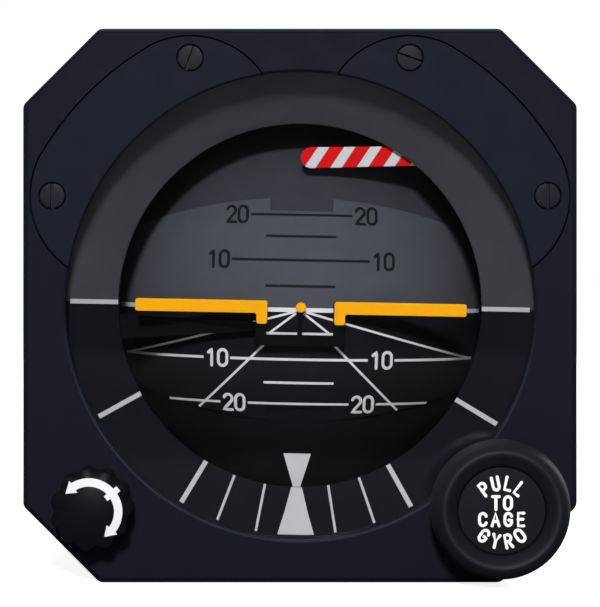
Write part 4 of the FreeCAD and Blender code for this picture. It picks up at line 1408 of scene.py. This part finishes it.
@dataclass
class BezelFront:
    """Clipped square bezel with its two lamp covers and their screws."""

    bench: Bench
    clip: float = 11.4
    corner: float = 0.62
    chamfer: float = 0.7
    window: float = 35.1
    window_ease: float = 0.22
    recess: float = 37.0
    lip: float = 2.0
    seat: float = 0.8
    overhang: float = 1.1
    lobe: float = 13.0
    lobe_near: float = 16.4
    lobe_far: float = 27.2
    cover_arc: float = 44.7
    cover_thick: float = 1.2
    cover_gap: float = 0.2
    screw: float = 1.92
    screw_out: float = 9.8
    screw_thick: float = 0.9
    screw_slot: float = 0.5
    screw_slot_depth: float = 0.65
    screw_dome: float = 0.06
    sink_gap: float = 0.12
    sink_ease: float = 0.08
    sink_floor: float = 0.2
    slot_turns: tuple[float, ...] = (-70, 90, 20, 90)
    lamp_well: float = 2.1
    lamp_depth: float = 6.2
    half: float = field(init=False)
    front: float = field(init=False)

    def build(self) -> None:
        """Build the bezel, its covers and screws."""
        low, high = self.bench.span("bezel")
        self.half = high.x
        self.front = low.y
        self.build_frame()
        for side, name in ((-1, "left"), (1, "right")):
            self.build_cover(side, name)
        self.build_screws()
        for side in ("left", "right"):
            self.bench.smooth("dial_lamp_" + side, Body.CASE, "bulb_glass")

    def octagon(self, drawn_in: float) -> list[Point]:
        """The bezel's outline with clipped and rounded corners.

        Args:
            drawn_in: Distance inside the bezel's edge.

        Returns:
            The outline.
        """
        half = self.half - drawn_in
        edge = 2 * self.half - self.clip - drawn_in * math.sqrt(2) - half
        quarter = [(half, -edge), (half, edge), (edge, half), (-edge, half)]
        return softened(quarter + [(-x, -z) for x, z in quarter], self.corner)

    def cover_outline(self, side: int, spread: float, window: float) -> list[Point]:
        """A lamp cover's outline, open to the window.

        Args:
            side: 1 for the right cover, -1 for the left.
            spread: Distance by which it is drawn out.
            window: Radius that its inner edge follows.

        Returns:
            The outline, counter-clockwise.
        """
        reach = math.hypot(self.lobe_near, self.lobe_far)
        lobe = self.lobe + spread
        lean = math.degrees(math.atan2(self.lobe_near, self.lobe_far))
        swing = math.degrees(math.acos((reach ** 2 + window ** 2 - lobe ** 2) / (2 * reach * window)))
        ends = [lean - swing, 90 - lean + swing]
        far, near = (self.lobe_far, self.lobe_near), (self.lobe_near, self.lobe_far)
        starts = []
        for centre, end in ((far, ends[0]), (near, ends[1])):
            x = window * math.cos(math.radians(end)) - centre[0]
            z = window * math.sin(math.radians(end)) - centre[1]
            starts.append(math.degrees(math.atan2(z, x)))
        outline = arc(far, lobe, starts[0], lean)[:-1]
        outline += arc((0, 0), self.cover_arc + spread, lean, 90 - lean)
        outline += arc(near, lobe, 90 - lean, starts[1])[1:]
        outline += arc((0, 0), window, ends[1], ends[0], 60)[1:-1]
        if side < 0:
            outline = [(-x, z) for x, z in reversed(outline)]
        return outline

    def build_frame(self) -> None:
        """Build the bezel itself."""
        front = self.front
        edge = softened([(1.2, front), (self.chamfer, front), (0, front + self.chamfer), (0, 0)], 0.16, False)
        body = loft("bezel_frame", self.octagon(0), edge)
        ease, back = self.window + self.window_ease, front + self.lip
        rim = [(ease + 1, front - 1), (ease, front), (self.window, front + self.window_ease),
               (self.window, back)]
        opening = [(0, front - 1), (ease + 1, front - 1)] + softened(rim, 0.06, False)[1:]
        opening += [(self.recess, back), (self.recess, 1), (0, 1)]
        tools = [lathe("window", opening, count=256)]
        tools.append(loft("rebate", self.octagon(self.overhang), [(0, -self.seat), (0, 2)]))
        for side in (-1, 1):
            pocket = self.cover_outline(side, self.cover_gap, self.window - 1)
            tools.append(loft("pocket", pocket, [(0, front - 1), (0, front + self.cover_thick)]))
        for node in ("erect_bushing", "trim_bushing"):
            low, high = self.bench.span(node)
            tools.append(rod("shaft_hole", (high.x - low.x) / 2, front - 1, 1, self.bench.centre(node)))
        for name in ("left", "right"):
            tools.append(rod("lamp_well", self.lamp_well, front, front + self.lamp_depth,
                             self.bench.centre("dial_lamp_" + name), 40))
        self.bench.dress(carve(body, tools), Body.CASE, "bezel_paint", "bezel")

    def build_cover(self, side: int, name: str) -> None:
        """Build one lamp cover.

        Args:
            side: 1 for the right cover, -1 for the left.
            name: Left or right.
        """
        front = self.front
        edge = softened([(0.4, front), (0, front), (0, front + self.cover_thick)], 0.14, False)
        body = loft(f"lamp_cover_{name}_plate", self.cover_outline(side, 0, self.window), edge)
        tools = []
        for x, z in self.screw_places():
            if x * side > 0:
                ease, wide = self.sink_ease, self.screw + self.sink_gap
                deep = front + self.cover_thick - self.sink_floor
                sink = [(0, front - 1), (wide + ease, front - 1), (wide + ease, front), (wide, front + ease),
                        (wide, deep), (0, deep)]
                tools.append(lathe("sink", sink, (x, z), 64))
        self.bench.dress(carve(body, tools), Body.CASE, "cover_paint", "lamp_cover_" + name)

    def screw_places(self) -> list[Point]:
        """(x, z) of the cover screws, left pair first.

        Returns:
            The four places.
        """
        out = self.screw_out
        right = [(self.lobe_near, self.lobe_far + out), (self.lobe_far + out, self.lobe_near)]
        return [(-x, z) for x, z in right] + right

    def build_screws(self) -> None:
        """Set the four cover screws."""
        head = slotted_screw("cover_screw", self.screw, self.screw_thick, self.screw_slot,
                             self.screw_slot_depth, self.screw_dome)
        places = [(x, self.front + 0.02, z) for x, z in self.screw_places()]
        piece = self.bench.trees.repeat("cover_screws", head, places, self.slot_turns,
                                        self.bench.paints["black_screw"])
        self.bench.fit(piece, Body.CASE, "black_screw", *[f"cover_screw_{number}" for number in range(1, 5)])


@dataclass
class WindowGlass:
    """Flat front glass and its seal."""

    bench: Bench
    ground_edge: float = 0.3

    def build(self) -> None:
        """Build the glass and dress the seal."""
        low, high = self.bench.span("cover_glass")
        outline = softened([(0, low.y), (high.x - self.ground_edge, low.y), (high.x, low.y + self.ground_edge),
                            (high.x, high.y - self.ground_edge), (high.x - self.ground_edge, high.y),
                            (0, high.y)], 0.08, False)
        self.bench.dress(lathe("window_glass", outline, count=192), Body.CASE, "glass", "cover_glass")
        self.bench.smooth("glass_gasket", Body.CASE, "rubber_seal")


@dataclass
class DialRing:
    """Conical bank scale round the aperture, with its printed marks."""

    bench: Bench
    outer: float = 35.4
    aperture: float = 28.05
    drop: float = 7.4
    thick: float = 1.0
    lip: float = 0.62
    lip_ease: float = 0.34
    side_height: float = 30.0
    side_depth: float = 3.9
    mark_span: tuple[float, ...] = (0.075, 0.5, 0.99)
    index_span: tuple[float, ...] = (0.08, 0.5, 0.99)
    index_widths: tuple[float, ...] = (5.6, 3.6, 1.66)
    long_marks: tuple[float, ...] = (-90, -60, -30, 30, 60, 90)
    short_marks: tuple[float, ...] = (-20, -10, 10, 20)
    long_width: float = 0.73
    short_width: float = 0.39

    def build(self) -> None:
        """Build the ring and print its marks."""
        low, high = self.bench.span("dial_ring")
        cone = Cone((self.outer, low.y), (self.aperture, low.y + self.drop))
        self.build_ring(low.y, high.x, high.y)
        self.print_marks(cone)

    def build_ring(self, front: float, skirt_out: float, back: float) -> None:
        """Build the cone with its rolled lip, and the skirt that it stands on.

        Args:
            front: Y of the cone's outer edge.
            skirt_out: Outer radius of the skirt.
            back: Y of the skirt's end.
        """
        skirt_in = skirt_out - self.thick
        slope = math.atan2(self.drop, self.outer - self.aperture)
        back_r, back_y = self.thick * math.sin(slope), self.thick * math.cos(slope)
        lip_y = front + self.drop
        meet = front + back_y + (self.outer + back_r - skirt_in) * math.tan(slope)
        profile = softened([(self.outer, front), (self.aperture, lip_y), (self.aperture, lip_y + self.lip),
                            (self.aperture + back_r, lip_y + back_y)], self.lip_ease, False)
        profile += [(skirt_in, meet), (skirt_in, back), (skirt_out, back), (skirt_out, front)]
        ring = lathe("bank_ring", profile, count=256)
        cut_y, far = back - self.side_depth, skirt_out + 5
        side = box("side_window", (-far, cut_y, -self.side_height), (far, back + 1, self.side_height))
        core = rod("keep", skirt_in - 0.5, cut_y - 1, back + 2, count=128)
        self.bench.dress(carve(ring, [carve(side, [core])]), Body.CASE, "dial_paint", "dial_ring")

    def print_marks(self, cone: Cone) -> None:
        """Print the bank marks and the zero index, turned with the rest of the dial.

        Args:
            cone: The ring's face.
        """
        strokes = []
        for marks, width in ((self.long_marks, self.long_width), (self.short_marks, self.short_width)):
            for angle in marks:
                strokes.append(Stroke([banked(cone.lay(share, angle)) for share in self.mark_span], width))
        index = [banked(cone.lay(share, 0)) for share in self.index_span]
        strokes.append(Stroke(index, list(self.index_widths)))
        self.bench.mark("bank_marks", strokes, cone, PRINT_DIAL, Body.CASE, "pointer_white")


@dataclass
class AttitudeBall:
    """The ball's shells, its raised scale plate and everything printed on it."""

    bench: Bench
    radius: float = 31.4
    mark_width: float = 0.42
    horizon_width: float = 0.7
    numeral_height: float = 2.5
    numeral_width: float = 0.5
    horizon_reach: float = 28.8
    ray_width: float = 0.36
    rays: tuple[tuple[Point, Point], ...] = (
        ((0.6, -0.5), (4.55, -3.55)), ((5.45, -5.45), (15.5, -15.6)), ((0.9, -0.3), (27.6, -7.7)))
    marks: tuple[tuple[int, float, float], ...] = ((5, 3.64, 5.35), (10, 7.62, 10.6), (15, 11.28, 5.4),
                                                   (20, 14.6, 7.8))
    numbers: tuple[tuple[int, float], ...] = ((10, 12.72), (20, 9.98))
    outer_marks: tuple[tuple[int, float, float], ...] = ((10, 14.8, 27.6), (20, 12.1, 20.3))
    centre: Spot = field(init=False)
    surface: Ball = field(init=False)

    def build(self) -> None:
        """Dress the shells and print the scale."""
        low, high = self.bench.span("ball_axle")
        self.centre = (0.0, (low.y + high.y) / 2, 0.0)
        self.surface = Ball(self.centre, self.radius)
        for node, slot in (("ball_sky_half", "ball_sky"), ("ball_ground_half", "ball_ground"),
                           ("ball_scale_plate", "ball_scale")):
            self.bench.smooth(node, Body.BALL, slot)
        self.print_scale()
        self.print_ground_lines()

    def lay(self, x: float, z: float) -> Spot:
        """A place on the ball, from its own level, brought to rest.

        Args:
            x: Across the ball.
            z: Height on the ball from its horizon.

        Returns:
            The place.
        """
        depth = math.sqrt(self.radius ** 2 - x ** 2 - z ** 2)
        y = -depth * math.cos(PITCH_REST) - z * math.sin(PITCH_REST)
        lifted = -depth * math.sin(PITCH_REST) + z * math.cos(PITCH_REST)
        x, y, z = banked((x, y, lifted))
        return (x, y + self.centre[1], z)

    def line(self, start: Point, end: Point, width: float, steps: int = 24) -> Stroke:
        """A straight line on the ball, seen from the front.

        Args:
            start: First (x, z).
            end: Last (x, z).
            width: Its width.
            steps: Stretches.

        Returns:
            The stroke.
        """
        (x, z), across, rise = start, end[0] - start[0], end[1] - start[1]
        shares = [step / steps for step in range(steps + 1)]
        return Stroke([self.lay(x + across * share, z + rise * share) for share in shares], width)

    def numerals(self, text: str, x: float, z: float) -> list[Stroke]:
        """A number on the ball.

        Args:
            text: The number.
            x: Its middle across.
            z: Its middle height.

        Returns:
            Its strokes.
        """
        height = self.numeral_height
        paths = self.bench.letters.word(text, height, (x, z), height * 0.74, squeeze=0.95)
        laid = [[self.lay(*point) for point in refined(path, 0.5)] for path in paths]
        return [Stroke(path, self.numeral_width) for path in laid]

    def print_scale(self) -> None:
        """Print the pitch marks and numbers, dark above the horizon and white below."""
        heights = {degrees: height for degrees, height, _ in self.marks}
        for sign, name, finish in ((1, "sky", PRINT_DARK), (-1, "ground", PRINT_WHITE)):
            strokes, digits = [], []
            for _, height, reach in self.marks:
                z = sign * height
                strokes.append(self.line((-reach, z), (reach, z), self.mark_width))
            for degrees, out in self.numbers:
                z = sign * heights[degrees]
                digits += self.numerals(str(degrees), -out, z) + self.numerals(str(degrees), out, z)
            if sign < 0:
                for degrees, near, far in self.outer_marks:
                    z = -heights[degrees]
                    for side in (-1, 1):
                        strokes.append(self.line((side * near, z), (side * far, z), self.mark_width))
            for label, prints, round_ends in (("pitch_marks_", strokes, False), ("pitch_numbers_", digits, True)):
                self.bench.mark(label + name, prints, self.surface, finish, Body.BALL, "ball_scale", round_ends)

    def print_ground_lines(self) -> None:
        """Print the horizon and the lines that run out from below its middle."""
        reach = self.horizon_reach
        strokes = [self.line((-reach, 0.0), (reach, 0.0), self.horizon_width, 48)]
        for side in (-1, 1):
            for near, far in self.rays:
                strokes.append(self.line((side * near[0], near[1]), (side * far[0], far[1]), self.ray_width))
        self.bench.mark("ground_lines", strokes, self.surface, PRINT_WHITE, Body.BALL, "ball_scale")


@dataclass
class MiniatureAircraft:
    """Wing bars, legs and dot in front of the ball, with their bracket and slider."""

    bench: Bench
    height: float = -0.3
    shift: float = 0.15
    near: float = 5.1
    far: float = 25.2
    bar_half: float = 0.97
    leg: float = 1.65
    leg_end: float = -2.9
    corner: float = 0.4
    dot: float = 0.78
    dot_ease: float = 0.18
    ease: float = 0.1

    def build(self) -> None:
        """Build the symbol and dress what carries it."""
        low, high = self.bench.span("aircraft_symbol")
        edge = softened([(0.2, low.y), (0, low.y), (0, high.y)], self.ease, False)
        parts = [self.wing(side, edge) for side in (-1, 1)]
        dot = softened([(0, low.y), (self.dot, low.y), (self.dot, high.y), (0, high.y)], self.dot_ease, False)
        centre = banked((self.shift, 0, self.height))
        parts.append(lathe("dot", dot, (centre[0], centre[2]), 48))
        self.bench.dress(joined("wing_symbol", parts), Body.SYMBOL, "symbol_yellow", "aircraft_symbol")
        self.bench.smooth("symbol_bracket", Body.SYMBOL, "bracket_black")

    def wing(self, side: int, edge: Sequence[Point]) -> bpy.types.Object:
        """One wing bar with its leg.

        Args:
            side: 1 for the right, -1 for the left.
            edge: Profile of its edge.

        Returns:
            The wing.
        """
        low, high = self.height - self.bar_half, self.height + self.bar_half
        outline = softened([(self.near, high), (self.near, self.leg_end), (self.near + self.leg, self.leg_end),
                            (self.near + self.leg, low), (self.far, low), (self.far, high)], self.corner)
        outline = [(side * x, z) for x, z in outline]
        if side < 0:
            outline.reverse()
        turned = [banked((self.shift + x, 0, z)) for x, z in outline]
        return loft("wing", [(x, z) for x, _, z in turned], edge)


@dataclass
class WarningFlag:
    """Striped flag that hangs across the upper right of the dial."""

    bench: Bench
    tip: Point = (1.79, 22.92)
    tip_half: float = 1.64
    waist: Point = (24.0, 23.3)
    waist_half: float = 1.46
    pivot: Point = (33.0, 21.5)
    hub: float = 2.4
    hub_arc: tuple[float, float] = (-122.0, 108.0)
    ease: float = 0.1

    def build(self) -> None:
        """Build the blade: parallel where it shows, and wider at its hub."""
        low, high = self.bench.span("flag_blade")
        x, z = self.waist
        outline = arc(self.pivot, self.hub, *self.hub_arc, 24) + [(x, z + self.waist_half)]
        outline += arc(self.tip, self.tip_half, 91, 269, 24) + [(x, z - self.waist_half)]
        edge = softened([(0.4, low.y), (0, low.y), (0, high.y)], self.ease, False)
        self.bench.dress(loft("flag_blade_striped", outline, edge), Body.FLAG, "flag_stripes", "flag_blade")


@dataclass
class ErectKnob:
    """Round pull knob with its cap and legend."""

    bench: Bench
    cap: float = 6.4
    letter: float = 1.85
    stroke: float = 0.46
    legend_drop: float = 0.2
    squeeze: float = 0.84
    ring_pitch: float = 25.0
    belly: float = 5.0
    soft_edge: float = 1.3
    cap_edge: float = 0.2
    crease: float = 50.0
    centre: Point = field(init=False)

    def build(self) -> None:
        """Build the knob and cap, and print the legend."""
        low, high = self.bench.span("erect_knob")
        self.centre = self.bench.centre("erect_knob")
        rim, front, back = (high.x - low.x) / 2, low.y, high.y
        widest = back - self.belly
        profile = [(0, back), (rim - 1.5, back), (rim - 0.35, widest + 2.6), (rim, widest + 1.0),
                   (rim, widest - 0.6), (rim - 0.5, front + 1.0), (rim - 1.6, front), (rim - 2.4, front + 0.12),
                   (self.cap + 0.35, front + 1.15), (self.cap, front + 1.7), (self.cap, front + 2.6),
                   (0, front + 2.6)]
        knob = lathe("pull_knob", softened(profile, self.soft_edge, False, 8), self.centre, 192)
        self.bench.dress(knob, Body.ERECT, "knob_plastic", "erect_knob", crease=self.crease)
        low, high = self.bench.span("erect_knob_cap")
        face = softened([(0, low.y), (self.cap, low.y), (self.cap, high.y), (0, high.y)], self.cap_edge, False)
        self.bench.dress(lathe("pull_knob_cap", face, self.centre, 128), Body.ERECT, "cap_plastic",
                         "erect_knob_cap")
        self.print_legend(Flat(low.y))
        self.fit_spring()

    def fit_spring(self) -> None:
        """Stand a smooth copy of the return spring with a mesh of its own; how much it would shorten is worked
        out but not applied.
        """
        spring = self.bench.smooth("erect_spring", Body.ERECT, "spring_steel")
        low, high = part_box("erect_spring")
        travel = next(joint for joint in self.bench.frame["joints"] if joint["name"] == "erect_pull_out")
        keep = 1 - travel["range_m"][1] / (high.y - low.y)
        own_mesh(spring)

    def print_legend(self, face: Flat) -> None:
        """Print the knob's use on its cap, in two arcs and two rows.

        Args:
            face: The cap's face.
        """
        x, z = self.centre[0], self.centre[1] - self.legend_drop
        paths = []
        for text, place, pitch, ring in (("PULL", (0, 0), self.ring_pitch, ((x, z), 4.25, 0)),
                                         ("TO", (x, z + 1.35), 1.75, None), ("CAGE", (x, z - 1.05), 1.85, None),
                                         ("GYRO", (0, 0), self.ring_pitch, ((x, z), 4.3, 180))):
            paths += self.bench.letters.word(text, self.letter, place, pitch, ring, self.squeeze)
        strokes = [Stroke([face.lay(*point) for point in path], self.stroke) for path in paths]
        self.bench.mark("pull_legend", strokes, face, PRINT_BRIGHT, Body.ERECT, "cap_plastic", True)


@dataclass
class TrimKnob:
    """Small scalloped knob with a double-headed arrow on its domed face."""

    bench: Bench
    lobes: int = 11
    crest: float = 6.1
    valley: float = 5.5
    dome_reach: float = 6.6
    dome_rise: float = 1.3
    arrow: float = 4.3
    arrow_shift: Point = (-0.17, -0.25)
    arrow_width: float = 1.24
    arrow_span: tuple[float, float] = (-52.0, 148.0)
    head_width: float = 2.15
    head: float = 20.0
    tick: float = 52.0
    tick_reach: float = 1.15
    tick_width: float = 0.9
    tip_width: float = 0.06
    crown: tuple[float, ...] = (0, 1.2, 2.4, 3.4, 4.2, 4.9, 5.4)
    edge: float = 0.32
    scallop_start: float = 3.6
    scallop_shape: float = 1.4
    crease: float = 50.0
    dome: Ball = field(init=False)

    def build(self) -> None:
        """Build the knob and print its arrow."""
        low, high = self.bench.span("trim_knob")
        x, z = self.bench.centre("trim_bushing")
        sphere = (self.dome_reach ** 2 + self.dome_rise ** 2) / (2 * self.dome_rise)
        self.dome = Ball((x, low.y + sphere, z), sphere)
        crown = [(radius, self.face(radius)) for radius in self.crown]
        side = softened([crown[-1], (self.crest, self.face(self.crest)), (self.crest, high.y),
                         (self.crest - 1.0, high.y)], self.edge, False, 6)
        knob = lathe("trim_knob_body", crown + side[1:] + [(0, high.y)], (x, z), 24 * self.lobes, self.rim)
        self.bench.dress(knob, Body.TRIM, "trim_plastic", "trim_knob", crease=self.crease)
        self.print_arrow()

    def face(self, radius: float) -> float:
        """Y of the dome at a radius."""
        return self.dome.centre[1] - math.sqrt(self.dome.radius ** 2 - radius ** 2)

    def rim(self, radius: float, angle: float) -> float:
        """The scalloped radius in place of a round one.

        Args:
            radius: The round radius.
            angle: Angle round the knob.

        Returns:
            The radius there.
        """
        wave = (1 - math.cos(self.lobes * angle)) / 2
        depth = (self.crest - self.valley) * wave ** self.scallop_shape
        share = max(0.0, min(1.0, (radius - self.scallop_start) / (self.crest - self.scallop_start)))
        return radius - depth * share

    def ring_spot(self, degrees: float, out: float = 0.0) -> Spot:
        """A place on the arrow's circle.

        Args:
            degrees: Clockwise from up.
            out: Distance outside the circle.

        Returns:
            The place.
        """
        angle = math.radians(degrees)
        x, z = self.arrow_shift
        reach = self.arrow + out
        return self.dome.lay(x + reach * math.sin(angle), z + reach * math.cos(angle))

    def print_arrow(self) -> None:
        """Print the arrow along its arc, with the tick that crosses it."""
        start, end = self.arrow_span
        steps, step_in = 40, 0.05
        first, last = start + self.head, end - self.head
        band = [first + step_in + (last - first - 2 * step_in) * step / steps for step in range(steps + 1)]
        tip = [self.tip_width, self.head_width]
        arrow = [self.ring_spot(angle) for angle in [start, first] + band + [last, end]]
        tick = [self.ring_spot(self.tick, out) for out in (-self.tick_reach, 0.0, self.tick_reach)]
        widths = tip + [self.arrow_width] * len(band) + tip[::-1]
        strokes = [Stroke(arrow, widths), Stroke(tick, self.tick_width)]
        self.bench.mark("trim_arrow", strokes, self.dome, PRINT_WHITE, Body.TRIM, "trim_plastic")


# ---- case and works --------------------------------------------------------------------------------

@dataclass
class RearCase:
    """Case sleeve, rear cover, its screws and the connector."""

    bench: Bench
    screw_thick: float = 1.3
    screw_slot: float = 0.55
    screw_slot_depth: float = 0.5
    screw_dome: float = 0.22
    first_turn: float = 30.0

    def build(self) -> None:
        """Dress the case and set its screws."""
        for node, slot in (("case_sleeve", "case_paint"), ("rear_cover", "case_paint"),
                           ("connector_shell", "connector_plating"), ("connector_insert", "contact_insert")):
            self.bench.smooth(node, Body.CASE, slot)
        self.set_screws()

    def set_screws(self) -> None:
        """Set the four rear screws, their faces aft."""
        names = [f"rear_screw_{number}" for number in range(1, 5)]
        boxes = [self.bench.span(name) for name in names]
        low, high = boxes[0]
        radius = (high.x - low.x) / 2
        head = slotted_screw("rear_screw", radius, self.screw_thick, self.screw_slot,
                             self.screw_slot_depth, self.screw_dome)
        head.data.transform(Matrix.Rotation(math.pi, 4, "Z"))
        places = [((a.x + b.x) / 2, b.y, (a.z + b.z) / 2) for a, b in boxes]
        turns = [self.first_turn + x + z for x, _, z in places]
        piece = self.bench.trees.repeat("rear_screws", head, places, turns, self.bench.paints["plated_steel"])
        self.bench.fit(piece, Body.CASE, "plated_steel", *names)


@dataclass
class InnerWorks:
    """Everything behind the dial, which keeps the frame's own shapes."""

    bench: Bench

    def build(self) -> None:
        """Give every node that is still shown its finish."""
        self.bench.smooth("bank_pointer", Body.ROLL, "pointer_white")
        for name, node in sorted(self.bench.frame["nodes"].items()):
            if node.hide_render:
                continue
            slot = node.data.materials[0].name.split(".")[0]
            node.data.materials.clear()
            node.data.materials.append(self.bench.paints[slot].material())
            LOG.info("%s keeps its shape, finished in %s", name, slot)


# ---- studio ----------------------------------------------------------------------------------------

@dataclass
class Studio:
    """Pale floor, white surroundings, a soft key light from above and the camera."""

    bench: Bench
    distance: float = 0.350
    camera_height: float = 0.0003
    long_side: float = 0.09058
    sensor: float = 36.0
    key_lift: float = 22.5
    key_left: float = 2.0
    key_far: float = 1.0
    key_size: float = 0.12
    key_power: float = 10.5
    surround: float = 0.22
    front_gloss: float = 0.03
    rear_way: Spot = (0.5, 1.0, 0.75)
    rear_size: float = 0.6
    rear_power: float = 16.0
    floor_half: float = 3.0
    floor_gap: float = 0.0002
    front: float = field(init=False)

    def build(self) -> None:
        """Set the floor, the lights and the camera."""
        self.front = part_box("bezel")[0].y
        self.set_floor()
        self.set_world()
        self.set_lights()
        self.set_camera()
        bpy.context.scene.view_settings.view_transform = "Standard"

    def set_floor(self) -> None:
        """Lay a plain white floor just under the bezel."""
        low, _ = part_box("bezel")
        half, z = self.floor_half, low.z - self.floor_gap
        floor = make_object("floor", [(-half, -half, z), (half, -half, z), (half, half, z), (-half, half, z)],
                            [[0, 1, 2, 3]])
        paint = bpy.data.materials.new("floor_white")
        graph = fresh_graph(paint)
        matte = graph.node("ShaderNodeBsdfDiffuse", {}, {"Color": (0.82, 0.82, 0.82)})
        glow = graph.node("ShaderNodeEmission", {}, {"Color": (0.85, 0.85, 0.85),
                                                     "Strength": graph.ray("Camera")})
        bright = graph.node("ShaderNodeAddShader", {}, {0: matte, 1: glow})
        dull = graph.node("ShaderNodeBsdfDiffuse", {}, {"Color": (0.05, 0.05, 0.05)})
        mixed = graph.choose(graph.ray("Glossy"), bright, dull)
        graph.node("ShaderNodeOutputMaterial", {}, {"Surface": mixed})
        floor.data.materials.append(paint)

    def set_world(self) -> None:
        """Light softly all round, and show white to the camera and through glass."""
        world = bpy.data.worlds.new("surroundings")
        bpy.context.scene.world = world
        graph = fresh_graph(world)
        aft = graph.vector("DOT_PRODUCT", graph.node("ShaderNodeTexCoord", output="Generated"), (0, 1, 0))
        soft, dim, white = [graph.node("ShaderNodeBackground", {}, {"Color": (1, 1, 1), "Strength": strength})
                            for strength in (self.surround, self.front_gloss, 1.0)]
        mirror = graph.choose((aft * 1.4 + 0.6).held(), dim, white)
        lit = graph.choose(graph.ray("Glossy"), soft, mirror)
        seen = (graph.ray("Camera") + graph.ray("Transmission")).held()
        graph.node("ShaderNodeOutputWorld", {}, {"Surface": graph.choose(seen, lit, white)})

    def set_lights(self) -> None:
        """Hang the key light above and a little left of the camera."""
        lift, left = math.radians(self.key_lift), math.radians(self.key_left)
        away = Vector((-math.sin(left) * math.cos(lift), -math.cos(left) * math.cos(lift), math.sin(lift)))
        self.hang("key", Vector((0, self.front, 0)), away * self.key_far, self.key_size, self.key_power)
        middle = Vector((0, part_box("case_sleeve")[1].y / 2, 0))
        self.hang("rear_fill", middle, Vector(self.rear_way), self.rear_size, self.rear_power)

    def hang(self, name: str, target: Vector, away: Vector, size: float, power: float) -> None:
        """Hang a soft light.

        Args:
            name: Its name.
            target: What it points at.
            away: Where it hangs from there.
            size: Diameter.
            power: Watts.
        """
        data = bpy.data.lights.new(name, "AREA")
        data.shape = "DISK"
        data.size = size
        data.energy = power
        light = linked(name, data)
        light.location = target + away
        light.rotation_euler = away.to_track_quat("Z", "Y").to_euler()

    def set_camera(self) -> None:
        """Set the camera square to the dial."""
        data = bpy.data.cameras.new("camera")
        data.sensor_width = self.sensor
        data.lens = self.sensor * self.distance / self.long_side
        data.clip_start, data.clip_end = 0.01, 20.0
        camera = linked("camera", data)
        camera.location = (0, self.front - self.distance, self.camera_height)
        camera.rotation_euler = (math.radians(90), 0, 0)
        bpy.context.scene.camera = camera


def clear_scene() -> None:
    """Empty the scene that Blender opens with."""
    for item in list(bpy.data.objects):
        bpy.data.objects.remove(item)


def main() -> None:
    """Dress the frame, one sub-assembly after another."""
    logging.basicConfig(level=logging.INFO, format="%(message)s")
    clear_scene()
    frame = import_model()
    bench = Bench(frame)
    for made in (BezelFront, WindowGlass, DialRing, AttitudeBall, MiniatureAircraft, WarningFlag, ErectKnob,
                 TrimKnob, RearCase, InnerWorks, Studio):
        made(bench).build()


if __name__ == "__main__":
    main()
